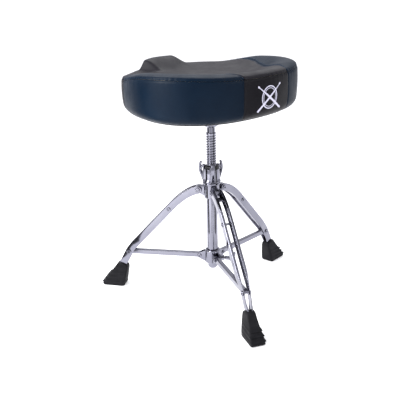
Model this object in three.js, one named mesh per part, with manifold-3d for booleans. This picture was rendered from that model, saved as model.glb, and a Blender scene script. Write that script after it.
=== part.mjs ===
// Drum throne: a saddle seat on a threaded rod, over a double-strip tripod.
// Millimetres, +Z up. The floor is z = 0 and the column stands on x = y = 0
// until the whole group is centred over its footprint at the end.

import * as THREE from 'three';
import Module from 'manifold-3d';
import { mergeVertices } from 'three/addons/utils/BufferGeometryUtils.js';

// ---------------------------------------------------------------- dimensions
const GAP = 0.3;                       // running or seating clearance between pieces

// Headings about the column, in degrees from +X.
const LEG_HEADINGS = { front: -90, right: 30, left: 150 };
const SEAT_HEADING = -62.8;            // from the column towards the seat's back panel
const CROWN_HEADING = 17.6;            // the first wing of the crown nut
const WING_BOLT_HEADING = -30;         // midway between the front and right legs
const BRACKET_SLIT_HEADING = -104;

// Linkage, in each leg's own upright plane as [distance from the column, height].
const LEG_PIVOT = [33.9, 284.8];       // leg on the upper hub
const BRACE_OUTER = [228.4, 100.7];    // brace on the leg
const BRACE_INNER = [33.5, 102.7];     // brace on the lower hub

// Column.
const TUBE_OUTER = 14.3;
const TUBE_INNER = 13.1;
const TUBE_BOTTOM = 84;
const TUBE_TOP = 301.5;
const CAP_BOTTOM = 68;

// Threaded rod and its plain upper end.
const ROD_RADIUS = 12.7;
const ROD_BOTTOM = 172;
const THREAD_TOP = 434;
const SPIGOT_RADIUS = 10.5;
const SPIGOT_TOP = 484;

// Hubs.
const HUB_OUTER = 20;
const UPPER_HUB_BOTTOM = 264;
const UPPER_HUB_TOP = 305.5;
const EAR_HALF = 6.5;                  // half the thickness of an upper hub ear
const LOWER_HUB_BOTTOM = 84.5;
const LOWER_HUB_TOP = 121;
const CHEEK_INNER = 6.6;               // the lower hub's paired cheeks, from the leg's mid plane
const CHEEK_OUTER = 8.6;

// Leg strips: two channels with their open sides facing each other.
const STRIP_WIDTH = 20;
const STRIP_OUTER = 14;                // outer face, from the leg's mid plane
const STRIP_DEPTH = 7;
const STRIP_WALL = 1.8;

// Braces: downward-opening channels.
const BRACE_HEIGHT = 12.5;
const BRACE_HALF = 6;
const BRACE_WALL = 1.6;

// Rivets.
const RIVET_RADIUS = 4;
const RIVET_HEAD = 6.5;
const RIVET_HEAD_HEIGHT = 2;
const BRACE_RIVET_RADIUS = 3.5;
const BRACE_RIVET_HEAD = 5.6;

// Crown nut.
const CROWN_BOTTOM = UPPER_HUB_TOP + 0.5;
const CROWN_SLEEVE_TOP = 330;
const CROWN_BORE = 17.3;
const CROWN_SLEEVE_OUTER = 20.6;
const CROWN_WINGS = 3;
const CROWN_WING_HALF = 3.6;
const INSERT_TOP = 349;

// Wing bolt of the lower hub.
const WING_BOLT_Z = 97;
const WING_BOLT_BORE = 3.5;

// Seat, in its own plan: u runs from the column to the back panel, v to its left.
const SEAT_OUTLINE = [208.9, -7.7, -11.6, -7.4, -2.2, 1.9];  // radius = sum of c[k] cos(k a)
const SEAT_BOTTOM = 492.6;
const BOARD_BOTTOM = 496;
const BOARD_THICKNESS = 12;
const SKIN = 3;                        // cover with its backing foam
const DISH_Z = 574;                    // middle of the seat
const RIM_Z = 584;                     // rim at the thigh cut-aways
const WING_RISE = 14;                  // the rim's extra height round the back
const WING_CREST = 6;                  // and again at the sides
const HUMP_RISE = 22;                  // the pommel at the front
const ROLL_DROP = 11;                  // from the rim down to the boxing seam
const RIDGE_AT = 0.87;                 // where the rim crests, as a share of the radius
const SEAT_STEPS = 45;                 // facets round the seat
const BACK_PANEL_STEPS = 3;            // half the width of the dark back panel, in facets
const WING_END_STEPS = 15;             // where the blue boxing ends, in facets from the back
const EDGE_ROUND = 16;                 // lower edge of the boxing

// Seat bracket.
const BRACKET_BOTTOM = 447;
const PLATE_TOP = 490.7;
const PLATE_THICKNESS = 4;
const PLATE_HALF = 48;
const SCREW_SPACING = 36;              // half the square of the four screws
const LUG_HALF = 8.5;                  // the clamp's lugs, from the slit to their outer faces
const CLAMP_SPOT = [29, 465];          // the clamp bolt, as [distance from the column, height]

// Foot.
const FOOT_HALF = 20;
const FOOT_TOP_HALF = 12.2;

// ---------------------------------------------------------------- materials
const metal = (color, roughness) => new THREE.MeshStandardMaterial({ color, roughness, metalness: 1 });
const plain = (color, roughness) => new THREE.MeshStandardMaterial({ color, roughness, metalness: 0 });
const MATERIALS = {
  chrome: metal(0xc9c9d6, 0.12),
  zinc: metal(0x9a9aa4, 0.35),
  nylon: plain(0x141418, 0.5),
  rubber: plain(0x1a1a1e, 0.7),
  navy: plain(0x2b3f5f, 0.42),
  charcoal: plain(0x3c3a42, 0.5),
  plywood: plain(0xb08a5a, 0.7),
  foam: plain(0xd8d2b8, 0.95),
  lining: plain(0x151517, 0.9),
};

// ---------------------------------------------------------------- solid helpers
const wasm = await Module();
wasm.setup();
const rad = THREE.MathUtils.degToRad;
const smooth = (low, high, x) => THREE.MathUtils.smoothstep(x, low, high);
const throne = new THREE.Group();

function toSolid(geometry) {
  const bare = geometry.clone();
  bare.deleteAttribute('normal');
  bare.deleteAttribute('uv');
  const merged = mergeVertices(bare, 1e-4);
  return new wasm.Manifold(new wasm.Mesh({
    numProp: 3,
    vertProperties: Float32Array.from(merged.attributes.position.array),
    triVerts: Uint32Array.from(merged.index.array),
  }));
}

function toGeometry(solid) {
  const { numProp, vertProperties, triVerts } = solid.getMesh();
  const positions = new Float32Array((vertProperties.length / numProp) * 3);
  for (let i = 0; i < positions.length / 3; i++) {
    positions.set(vertProperties.subarray(i * numProp, i * numProp + 3), i * 3);
  }
  const geometry = new THREE.BufferGeometry();
  geometry.setAttribute('position', new THREE.BufferAttribute(positions, 3));
  geometry.setIndex([...triVerts]);
  return geometry;
}

const join = (first, ...others) => others.reduce((sum, other) => sum.add(other), first);
const cut = (body, ...tools) => tools.reduce((left, tool) => left.subtract(tool), body);

// A ring or plug about Z from [radius, z] points, listed upwards on the outside.
function revolve(profile, segments = 24) {
  const points = profile.map(([r, z]) => new THREE.Vector2(r, z));
  const onAxis = profile[0][0] === 0 && profile.at(-1)[0] === 0;
  if (!onAxis) points.push(points[0].clone());
  const lathe = new THREE.LatheGeometry(points, segments).rotateX(Math.PI / 2);
  return toSolid(lathe);
}

// A round bar between two heights.
const bar = (radius, low, high, segments = 16) => revolve([[0, low], [radius, low], [radius, high], [0, high]], segments);

// A solid whose length ran along Z, laid along a heading at a height.
function layAlong(solid, heading, z) {
  const turn = new THREE.Matrix4().makeRotationZ(rad(heading));
  const tip = new THREE.Matrix4().makeRotationY(Math.PI / 2);
  const lift = new THREE.Matrix4().makeTranslation(0, 0, z);
  return solid.transform([...lift.multiply(turn).multiply(tip).elements]);
}

// A [distance, height] outline given thickness across the leg's mid plane.
function slab(shape, from, to, curveSegments = 4) {
  const flat = new THREE.ExtrudeGeometry(shape, { depth: to - from, bevelEnabled: false, curveSegments });
  const basis = new THREE.Matrix4().makeBasis(
    new THREE.Vector3(1, 0, 0), new THREE.Vector3(0, 0, 1), new THREE.Vector3(0, -1, 0));
  flat.translate(0, 0, from).applyMatrix4(basis);
  return toSolid(flat);
}

// A bar across the leg's mid plane at one point of it.
function crossBar(radius, [r, z], from, to, segments = 10) {
  const pin = bar(radius, from, to, segments).transform(
    [...new THREE.Matrix4().makeRotationX(Math.PI / 2).elements]);
  return pin.translate([r, 0, z]);
}

// A plan outline given thickness in Z.
function plate(shape, low, high, curveSegments = 4) {
  const flat = new THREE.ExtrudeGeometry(shape, { depth: high - low, bevelEnabled: false, curveSegments });
  return toSolid(flat.translate(0, 0, low));
}

function fromMesh(positions, index) {
  const geometry = new THREE.BufferGeometry();
  geometry.setAttribute('position', new THREE.BufferAttribute(new Float32Array(positions), 3));
  geometry.setIndex(index);
  return toSolid(geometry);
}

// A solid through a row of flat anticlockwise outlines; place(k, a, b) puts outline k's points in space.
function loft(outlines, place) {
  const n = outlines[0].length;
  const positions = outlines.flatMap((outline, k) => outline.flatMap(([a, b]) => place(k, a, b)));
  const index = [];
  for (let k = 0; k < outlines.length - 1; k++) {
    for (let i = 0; i < n; i++) {
      const a = k * n + i;
      const b = k * n + ((i + 1) % n);
      index.push(a, b + n, b, a, a + n, b + n);
    }
  }
  const flat = (outline) => THREE.ShapeUtils.triangulateShape(outline.map(([a, b]) => new THREE.Vector2(a, b)), []);
  const end = (outlines.length - 1) * n;
  flat(outlines[0]).forEach(([a, b, c]) => index.push(a, b, c));
  flat(outlines.at(-1)).forEach(([a, b, c]) => index.push(end + a, end + c, end + b));
  return fromMesh(positions, index);
}

function place(name, solid, material, heading = 0, parent = throne) {
  const mesh = new THREE.Mesh(toGeometry(solid), material);
  mesh.name = name;
  mesh.rotation.z = rad(heading);
  parent.add(mesh);
}

// ---------------------------------------------------------------- column
function columnTube() {
  return revolve([
    [TUBE_INNER, TUBE_BOTTOM], [TUBE_OUTER, TUBE_BOTTOM], [TUBE_OUTER, TUBE_TOP], [TUBE_INNER, TUBE_TOP],
  ], 32);
}

function columnCap() {
  const plugRadius = TUBE_INNER - GAP;
  const cup = 12.6;
  const body = revolve([
    [0, CAP_BOTTOM], [8, CAP_BOTTOM], [11.2, CAP_BOTTOM + 1.6], [cup, CAP_BOTTOM + 5],
    [cup, TUBE_BOTTOM - GAP], [plugRadius - 0.4, TUBE_BOTTOM - GAP],
    [plugRadius - 0.4, TUBE_BOTTOM + 14], [0, TUBE_BOTTOM + 14],
  ], 32);
  return cut(body, bar(5, CAP_BOTTOM - 1, CAP_BOTTOM + 8));
}

function upperHub() {
  const bore = TUBE_OUTER + GAP;
  const collar = revolve([
    [bore, UPPER_HUB_BOTTOM], [HUB_OUTER - 2, UPPER_HUB_BOTTOM], [HUB_OUTER, UPPER_HUB_BOTTOM + 2],
    [HUB_OUTER, UPPER_HUB_TOP - 6], [HUB_OUTER + 3, UPPER_HUB_TOP - 4.5], [HUB_OUTER + 3, UPPER_HUB_TOP],
    [ROD_RADIUS + 0.5, UPPER_HUB_TOP], [ROD_RADIUS + 0.5, TUBE_TOP + GAP], [bore, TUBE_TOP + GAP],
  ], 32);
  const earRadius = 11;
  const ear = new THREE.Shape();
  ear.moveTo(bore + 1, UPPER_HUB_BOTTOM + 3);
  ear.lineTo(LEG_PIVOT[0] - 4, LEG_PIVOT[1] - earRadius);
  ear.absarc(LEG_PIVOT[0], LEG_PIVOT[1], earRadius, -Math.PI / 2, Math.PI / 2, false);
  ear.lineTo(bore + 1, LEG_PIVOT[1] + earRadius);
  const blank = slab(ear, -EAR_HALF, EAR_HALF);
  const bored = cut(blank, crossBar(RIVET_RADIUS + GAP, LEG_PIVOT, -20, 20));
  const ears = Object.values(LEG_HEADINGS).map((heading) => bored.rotate([0, 0, heading]));
  return cut(join(collar, ...ears), bar(bore, UPPER_HUB_BOTTOM - 1, TUBE_TOP, 32));
}

// ---------------------------------------------------------------- legs
// Centre line of a leg strip: out from the hub, down straight, steeper at the foot.
function legLine() {
  const line = new THREE.Path();
  line.moveTo(...LEG_PIVOT);
  line.quadraticCurveTo(67.5, 277.5, 105, 237.1);
  line.lineTo(210, 124.5);
  line.quadraticCurveTo(222.4, 111.2, 230, 97);
  line.lineTo(241, 76.5);
  line.lineTo(251, 57.5);
  return line.getPoints(5);
}

// Half the leg's outer width and the channel's depth: the strips draw together and flatten at the foot.
function stripSpread(r) {
  return {
    outer: STRIP_OUTER - 5.3 * smooth(196, 230, r) - 0.7 * smooth(228, 250, r),
    depth: STRIP_DEPTH - 5.1 * smooth(196, 226, r),
  };
}

// One pressed strip with a round end at the pivot.
function legStrip(side) {
  const line = legLine();
  const run = line[1].clone().sub(line[0]).normalize();
  const half = STRIP_WIDTH / 2;
  const nose = [0.96, 0.7].map((share) => ({
    point: line[0].clone().addScaledVector(run, -half * share),
    half: half * Math.sqrt(1 - share * share),
  }));
  const stations = [...nose, ...line.map((point) => ({ point, half }))];
  const outlines = stations.map(({ point, half: w }) => {
    const { outer, depth } = stripSpread(point.x);
    const wall = Math.min(STRIP_WALL, w * 0.6);
    const tip = outer - depth;
    return [
      [-w, tip], [wall - w, tip], [wall - w, outer - wall], [w - wall, outer - wall],
      [w - wall, tip], [w, tip], [w, outer], [-w, outer],
    ];
  });
  const strip = loft(outlines, alongLine(stations));
  const holes = [LEG_PIVOT, BRACE_OUTER, midRivetSpot()].map(
    (spot) => crossBar(RIVET_RADIUS + GAP, spot, -20, 20));
  const drilled = cut(strip, ...holes);
  return side > 0 ? drilled.mirror([0, 1, 0]) : drilled;
}

// Puts an outline's [along the normal, across] points square to the leg's line.
function alongLine(stations) {
  const points = stations.map(({ point }) => point);
  return (k, a, b) => {
    const before = points[Math.max(k - 1, 0)];
    const after = points[Math.min(k + 1, points.length - 1)];
    const run = after.clone().sub(before).normalize();
    return [points[k].x - run.y * a, b, points[k].y + run.x * a];
  };
}

const midRivetSpot = () => [112, 229.6];

// A tubular rivet right through the leg, its heads outside the strips.
function throughRivet(spot, shaft, head, face) {
  const seat = face + GAP;
  const end = seat + RIVET_HEAD_HEIGHT;
  const rivet = join(
    crossBar(shaft, spot, -end + 0.2, end - 0.2),
    crossBar(head, spot, seat, end),
    crossBar(head, spot, -end, -seat));
  const dimple = 0.42 * head;
  return cut(rivet, crossBar(dimple, spot, end - 3, end + 1, 8), crossBar(dimple, spot, -end - 1, -end + 3, 8));
}

// The short rivet that each strip carries at its brace, clear of the brace's end.
function stubRivet(side) {
  const { outer, depth } = stripSpread(BRACE_OUTER[0]);
  const seat = stripSpread(BRACE_OUTER[0] - RIVET_HEAD).outer + GAP;
  const rivet = join(
    crossBar(RIVET_RADIUS, BRACE_OUTER, outer - depth, seat + 1),
    crossBar(RIVET_HEAD, BRACE_OUTER, seat, seat + RIVET_HEAD_HEIGHT));
  const hollow = cut(rivet, crossBar(2.6, BRACE_OUTER, seat - 1, seat + 4, 8));
  return side > 0 ? hollow : hollow.mirror([0, 1, 0]);
}

// Pressed web that ties the two strips beside the upper hub.
function legBridge() {
  const web = new THREE.BoxGeometry(15, 2 * (STRIP_OUTER - STRIP_WALL - GAP), 2);
  web.rotateY(rad(17)).translate(60, 0, 277.5);
  return toSolid(web);
}

// The space that both strip ends take in the foot, with clearance.
function footSocket() {
  const [start, end] = legLine().slice(-2);
  const run = end.clone().sub(start).normalize();
  const stations = [
    { point: start, outer: stripSpread(start.x).outer + 0.8 },
    { point: end.clone().addScaledVector(run, 2 * GAP), outer: stripSpread(end.x).outer + 0.8 },
  ];
  const w = STRIP_WIDTH / 2 + GAP;
  const outlines = stations.map(({ outer }) => [[-w, -outer], [w, -outer], [w, outer], [-w, outer]]);
  return loft(outlines, alongLine(stations));
}

function foot() {
  const side = new THREE.Shape();
  side.moveTo(249, 0);
  side.lineTo(303, 0);
  side.quadraticCurveTo(312, 0, 309, 9);
  side.lineTo(264, 65);
  side.quadraticCurveTo(259, 71, 252, 68.5);
  side.lineTo(238, 62.5);
  side.quadraticCurveTo(231, 58, 234, 48);
  side.lineTo(243, 6);
  side.quadraticCurveTo(244, 0, 249, 0);
  const block = slab(side, -FOOT_HALF, FOOT_HALF, 4);
  const front = new THREE.Shape();
  front.moveTo(-FOOT_HALF + 1.5, -1);
  front.lineTo(FOOT_HALF - 1.5, -1);
  front.lineTo(FOOT_HALF, 4);
  front.lineTo(FOOT_HALF, 12);
  front.lineTo(FOOT_TOP_HALF, 75);
  front.lineTo(-FOOT_TOP_HALF, 75);
  front.lineTo(-FOOT_HALF, 12);
  front.lineTo(-FOOT_HALF, 4);
  const taper = new THREE.ExtrudeGeometry(front, { depth: 120, bevelEnabled: false });
  const basis = new THREE.Matrix4().makeBasis(
    new THREE.Vector3(0, 1, 0), new THREE.Vector3(0, 0, 1), new THREE.Vector3(1, 0, 0));
  taper.applyMatrix4(basis).translate(215, 0, 0);
  return cut(block.intersect(toSolid(taper)), footSocket());
}

// ---------------------------------------------------------------- braces and lower hub
function brace() {
  const half = BRACE_HEIGHT / 2;
  const slope = Math.atan2(BRACE_OUTER[1] - BRACE_INNER[1], BRACE_OUTER[0] - BRACE_INNER[0]);
  const shape = (radius) => {
    const outline = new THREE.Shape();
    outline.absarc(...BRACE_OUTER, radius, slope - Math.PI / 2, slope + Math.PI / 2, false);
    outline.absarc(...BRACE_INNER, radius, slope + Math.PI / 2, slope + 1.5 * Math.PI, false);
    return outline;
  };
  const blank = slab(shape(half), -BRACE_HALF, BRACE_HALF, 6);
  const hollow = slab(shape(half), -BRACE_HALF + BRACE_WALL, BRACE_HALF - BRACE_WALL, 6);
  const holes = [BRACE_INNER, BRACE_OUTER].map((spot) => crossBar(BRACE_RIVET_RADIUS + GAP, spot, -20, 20));
  return cut(blank, hollow.translate([0, 0, -BRACE_WALL]), ...holes);
}

function lowerHub() {
  const bore = TUBE_OUTER + GAP;
  const collar = revolve([
    [bore, LOWER_HUB_BOTTOM], [HUB_OUTER - 2, LOWER_HUB_BOTTOM], [HUB_OUTER, LOWER_HUB_BOTTOM + 2],
    [HUB_OUTER, LOWER_HUB_TOP - 2], [HUB_OUTER - 2, LOWER_HUB_TOP], [bore, LOWER_HUB_TOP],
  ], 32);
  const cheek = new THREE.Shape();
  cheek.moveTo(bore + 1, LOWER_HUB_BOTTOM + 1);
  cheek.lineTo(BRACE_INNER[0] + 3.5, BRACE_INNER[1] - 6);
  cheek.absarc(...BRACE_INNER, 7, -Math.PI / 3, Math.PI / 3, false);
  cheek.lineTo(bore + 1, LOWER_HUB_TOP - 3);
  const rivetHole = crossBar(BRACE_RIVET_RADIUS + GAP, BRACE_INNER, -20, 20);
  const pair = join(slab(cheek, CHEEK_INNER, CHEEK_OUTER), slab(cheek, -CHEEK_OUTER, -CHEEK_INNER));
  const cheeks = Object.values(LEG_HEADINGS).map((heading) => cut(pair, rivetHole).rotate([0, 0, heading]));
  const boss = layAlong(bar(7.5, bore + 1, 31), WING_BOLT_HEADING, WING_BOLT_Z);
  const thread = layAlong(bar(WING_BOLT_BORE, bore - 2, 40), WING_BOLT_HEADING, WING_BOLT_Z);
  return cut(join(collar, boss, ...cheeks), thread, bar(bore, LOWER_HUB_BOTTOM - 1, LOWER_HUB_TOP + 1, 32));
}

function wingBolt() {
  const stem = bar(WING_BOLT_BORE - GAP, 16, 36, 16);
  const knob = revolve([[0, 33], [4.6, 33], [5.6, 35], [5.6, 47], [4, 50], [0, 50]], 20);
  const wings = new THREE.Shape();
  wings.moveTo(38, -5);
  wings.quadraticCurveTo(49, -7, 56, -16);
  wings.quadraticCurveTo(60, -18, 61.5, -13);
  wings.quadraticCurveTo(62, -6, 53, -2);
  wings.lineTo(53, 2);
  wings.quadraticCurveTo(62, 6, 61.5, 13);
  wings.quadraticCurveTo(60, 18, 56, 16);
  wings.quadraticCurveTo(49, 7, 38, 5);
  const blade = slab(wings, -2.4, 2.4, 5).rotate([0, 0, WING_BOLT_HEADING]).translate([0, 0, WING_BOLT_Z]);
  return join(layAlong(join(stem, knob), WING_BOLT_HEADING, WING_BOLT_Z), blade);
}

// ---------------------------------------------------------------- height screw
function threadedRod() {
  return revolve([
    [0, ROD_BOTTOM], [ROD_RADIUS - 2, ROD_BOTTOM], [ROD_RADIUS, ROD_BOTTOM + 2],
    [ROD_RADIUS, THREAD_TOP - 1.5], [SPIGOT_RADIUS, THREAD_TOP], [SPIGOT_RADIUS, SPIGOT_TOP - 1],
    [SPIGOT_RADIUS - 1, SPIGOT_TOP], [0, SPIGOT_TOP],
  ], 32);
}

function crownNut() {
  const sleeve = revolve([
    [CROWN_BORE, CROWN_BOTTOM], [22.5, CROWN_BOTTOM], [24, CROWN_BOTTOM + 2.5], [22.5, CROWN_BOTTOM + 6],
    [CROWN_SLEEVE_OUTER, CROWN_BOTTOM + 9], [CROWN_SLEEVE_OUTER, CROWN_SLEEVE_TOP],
    [CROWN_BORE, CROWN_SLEEVE_TOP],
  ], 24);
  const wing = new THREE.Shape();
  wing.moveTo(19, CROWN_BOTTOM + 2);
  wing.lineTo(24, CROWN_BOTTOM + 2);
  wing.quadraticCurveTo(27, 322, 31.5, 331);
  wing.quadraticCurveTo(35, 342, 30.5, 357);
  wing.absarc(27.4, 357.6, 3.2, 0, Math.PI, false);
  wing.quadraticCurveTo(25, 349, 25.5, 344);
  wing.quadraticCurveTo(24, 352, 19, 353);
  wing.lineTo(17.5, 346);
  wing.lineTo(17.8, 320);
  const window = new THREE.Shape();
  window.moveTo(22, 329);
  window.quadraticCurveTo(27, 333, 25.5, 339);
  window.lineTo(22.4, 344);
  window.quadraticCurveTo(20.6, 337, 22, 329);
  const blank = cut(slab(wing, -CROWN_WING_HALF, CROWN_WING_HALF, 5), slab(window, -20, 20, 4));
  const wings = Array.from({ length: CROWN_WINGS }, (_, k) => blank.rotate([0, 0, CROWN_HEADING + (360 / CROWN_WINGS) * k]));
  const bore = revolve([[0, CROWN_BOTTOM - 1], [CROWN_BORE, CROWN_BOTTOM - 1], [CROWN_BORE, 360], [0, 360]], 24);
  return cut(join(sleeve, ...wings), bore);
}

function nylonInsert() {
  const outer = CROWN_BORE - GAP;
  const bore = ROD_RADIUS + GAP;
  return revolve([
    [bore, CROWN_BOTTOM], [outer, CROWN_BOTTOM], [outer, INSERT_TOP - 3],
    [outer - 1, INSERT_TOP], [bore + 0.8, INSERT_TOP], [bore, INSERT_TOP - 2],
  ], 32);
}

// ---------------------------------------------------------------- seat bracket
function seatBracket() {
  const top = PLATE_TOP - PLATE_THICKNESS;
  const socket = revolve([
    [0, BRACKET_BOTTOM], [12.8, BRACKET_BOTTOM], [19.5, BRACKET_BOTTOM + 5.5], [20.5, 470],
    [24, 480], [31, top + 0.5], [0, top + 0.5],
  ]);
  const corner = 10;
  const square = new THREE.Shape();
  square.absarc(PLATE_HALF - corner, PLATE_HALF - corner, corner, 0, Math.PI / 2, false);
  square.absarc(corner - PLATE_HALF, PLATE_HALF - corner, corner, Math.PI / 2, Math.PI, false);
  square.absarc(corner - PLATE_HALF, corner - PLATE_HALF, corner, Math.PI, 1.5 * Math.PI, false);
  square.absarc(PLATE_HALF - corner, corner - PLATE_HALF, corner, 1.5 * Math.PI, 2 * Math.PI, false);
  const flange = plate(square, top, PLATE_TOP, 3).rotate([0, 0, SEAT_HEADING]);
  const lugs = toSolid(new THREE.BoxGeometry(15, 2 * LUG_HALF, 18).translate(26, 0, CLAMP_SPOT[1]))
    .rotate([0, 0, BRACKET_SLIT_HEADING]);
  const slit = toSolid(new THREE.BoxGeometry(40, 3, 40).translate(20, 0, BRACKET_BOTTOM + 15))
    .rotate([0, 0, BRACKET_SLIT_HEADING]);
  const boltWay = crossBar(3.3, CLAMP_SPOT, -20, 20).rotate([0, 0, BRACKET_SLIT_HEADING]);
  const bore = bar(SPIGOT_RADIUS + GAP, BRACKET_BOTTOM - 1, SPIGOT_TOP + GAP, 24);
  const holes = screwSpots().map(([x, y]) => bar(3.4, top - 2, PLATE_TOP + 2, 12).translate([x, y, 0]));
  return cut(join(socket, flange, lugs), slit, boltWay, bore, ...holes);
}

function screwSpots() {
  const turn = rad(SEAT_HEADING);
  const corners = [[1, 1], [-1, 1], [-1, -1], [1, -1]];
  return corners.map(([a, b]) => [
    SCREW_SPACING * (a * Math.cos(turn) - b * Math.sin(turn)),
    SCREW_SPACING * (a * Math.sin(turn) + b * Math.cos(turn)),
  ]);
}

function plateScrew([x, y]) {
  const under = PLATE_TOP - PLATE_THICKNESS - GAP;
  const screw = revolve([
    [0, under - 3.4], [3.2, under - 3.4], [5.4, under - 1.6], [5.8, under], [3, under],
    [3, BOARD_BOTTOM + 9], [0, BOARD_BOTTOM + 9],
  ], 16);
  return screw.translate([x, y, 0]);
}

// Square-headed bolt across the slit, and the nut on its far end.
function clampBolt() {
  const face = LUG_HALF + GAP;
  const [r, z] = CLAMP_SPOT;
  const shaft = crossBar(3, CLAMP_SPOT, -face - 7.5, face + 1);
  const collar = crossBar(6.2, CLAMP_SPOT, face, face + 2.4, 16);
  const head = toSolid(new THREE.BoxGeometry(6.4, 7, 6.4).translate(r, -face - 5, z));
  return join(shaft, collar, head).rotate([0, 0, BRACKET_SLIT_HEADING]);
}

function clampNut() {
  const face = LUG_HALF + GAP;
  const hex = crossBar(5.8, CLAMP_SPOT, -face - 5, -face, 6);
  return cut(hex, crossBar(3 + GAP, CLAMP_SPOT, -40, 0)).rotate([0, 0, BRACKET_SLIT_HEADING]);
}

// ---------------------------------------------------------------- seat
const outlineRadius = (a) => SEAT_OUTLINE.reduce((sum, c, k) => sum + c * Math.cos(k * a), 0);

// Extra height of the back rim over the cut-aways, by angle from the back.
function wingRise(a) {
  const degrees = THREE.MathUtils.radToDeg(Math.acos(Math.cos(a)));
  const crest = WING_CREST * Math.exp(-(((degrees - 70) / 28) ** 2));
  return (WING_RISE + crest) * (1 - smooth(90, 130, degrees));
}

// The pommel's height across the seat's front.
function humpRise(a) {
  const across = Math.abs(outlineRadius(a) * RIDGE_AT * Math.sin(a));
  return Math.cos(a) > 0 ? 0 : HUMP_RISE * (1 - smooth(46, 80, across));
}

const seamHeight = (a) => RIM_Z + wingRise(a) - ROLL_DROP;

// Height of the cushion's top at a share of the radius.
function topHeight(a, share) {
  const rim = RIM_Z + wingRise(a) + humpRise(a);
  if (share > RIDGE_AT) {
    const over = (share - RIDGE_AT) / (1 - RIDGE_AT);
    return seamHeight(a) + (rim - seamHeight(a)) * Math.sqrt(Math.max(0, 1 - over * over));
  }
  return DISH_Z + (RIM_Z - DISH_Z) * smooth(0.35, RIDGE_AT, share)
    + wingRise(a) * smooth(0.45, RIDGE_AT, share) + humpRise(a) * smooth(0.58, RIDGE_AT, share);
}

const TOP_SHARES = [0.4, 0.62, 0.75, RIDGE_AT, 0.96, 1];
const stepAngle = (i) => (2 * Math.PI * i) / SEAT_STEPS;

// Closed solid between two polar surfaces, each a function of angle and share.
function polarSolid(upper, lower, lowerShares) {
  const positions = [];
  const index = [];
  const at = (base, ring, i) => base + 1 + ring * SEAT_STEPS + (i % SEAT_STEPS);
  const addSurface = (surface, shares, facesUp) => {
    const base = positions.length / 3;
    const face = (a, b, c) => index.push(a, facesUp ? b : c, facesUp ? c : b);
    positions.push(...surface(0, 0));
    shares.forEach((share, ring) => {
      for (let i = 0; i < SEAT_STEPS; i++) {
        positions.push(...surface(stepAngle(i), share));
        if (ring === 0) {
          face(base, at(base, 0, i), at(base, 0, i + 1));
        } else {
          face(at(base, ring - 1, i), at(base, ring, i), at(base, ring, i + 1));
          face(at(base, ring - 1, i), at(base, ring, i + 1), at(base, ring - 1, i + 1));
        }
      }
    });
    return (i) => at(base, shares.length - 1, i);
  };
  const up = addSurface(upper, TOP_SHARES, true);
  const down = addSurface(lower, lowerShares, false);
  for (let i = 0; i < SEAT_STEPS; i++) {
    index.push(up(i), down(i), down(i + 1));
    index.push(up(i), down(i + 1), up(i + 1));
  }
  return fromMesh(positions, index);
}

// The cushion's top surface drawn in by an amount.
const drawnIn = (amount) => (a, share) => {
  const r = (outlineRadius(a) - amount) * share;
  return [r * Math.cos(a), r * Math.sin(a), topHeight(a, share) - amount];
};

// Flat polar surface at one height.
const flatAt = (z, amount) => (a, share) => {
  const r = (outlineRadius(a) - amount) * share;
  return [r * Math.cos(a), r * Math.sin(a), z];
};

// Plan area of one side's blue top panel.
function wingCutter(side, shift) {
  const edge = new THREE.SplineCurve([
    [-150, 170], [-122, 173], [-67, 172], [11, 155], [78, 118], [163, 80], [205, 62],
  ].map(([u, v]) => new THREE.Vector2(u, side * (v - shift))));
  const points = edge.getPoints(18);
  points.push(new THREE.Vector2(300, side * 300), new THREE.Vector2(-150, side * 300));
  return plate(new THREE.Shape(points), 480, 680);
}

// A stretch of the upright boxing between two facets, stopping just short of both.
function boxing(fromStep, toStep) {
  const shy = 0.02;
  const outline = (a) => {
    const r = outlineRadius(a);
    const seam = seamHeight(a) - 2 * GAP;
    return [
      [r - 40, SEAT_BOTTOM], [r - EDGE_ROUND, SEAT_BOTTOM], [r - EDGE_ROUND * 0.3, SEAT_BOTTOM + EDGE_ROUND * 0.3],
      [r, SEAT_BOTTOM + EDGE_ROUND], [r, seam], [r - SKIN, seam - SKIN],
      [r - SKIN, SEAT_BOTTOM + EDGE_ROUND + 1], [r - SKIN - EDGE_ROUND * 0.3, SEAT_BOTTOM + EDGE_ROUND * 0.3 + 2],
      [r - EDGE_ROUND - 2, SEAT_BOTTOM + SKIN], [r - 40, SEAT_BOTTOM + SKIN],
    ];
  };
  const steps = toStep - fromStep;
  const angle = (k) => stepAngle(THREE.MathUtils.clamp(fromStep + k, fromStep + shy, toStep - shy));
  const outlines = Array.from({ length: steps + 1 }, (_, k) => outline(angle(k)));
  return loft(outlines, (k, r, z) => [r * Math.cos(angle(k)), r * Math.sin(angle(k)), z]);
}

function seatPlan(inset) {
  const points = Array.from({ length: SEAT_STEPS }, (_, i) => {
    const a = stepAngle(i);
    const r = outlineRadius(a) - inset;
    return new THREE.Vector2(r * Math.cos(a), r * Math.sin(a));
  });
  return new THREE.Shape(points);
}

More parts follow.
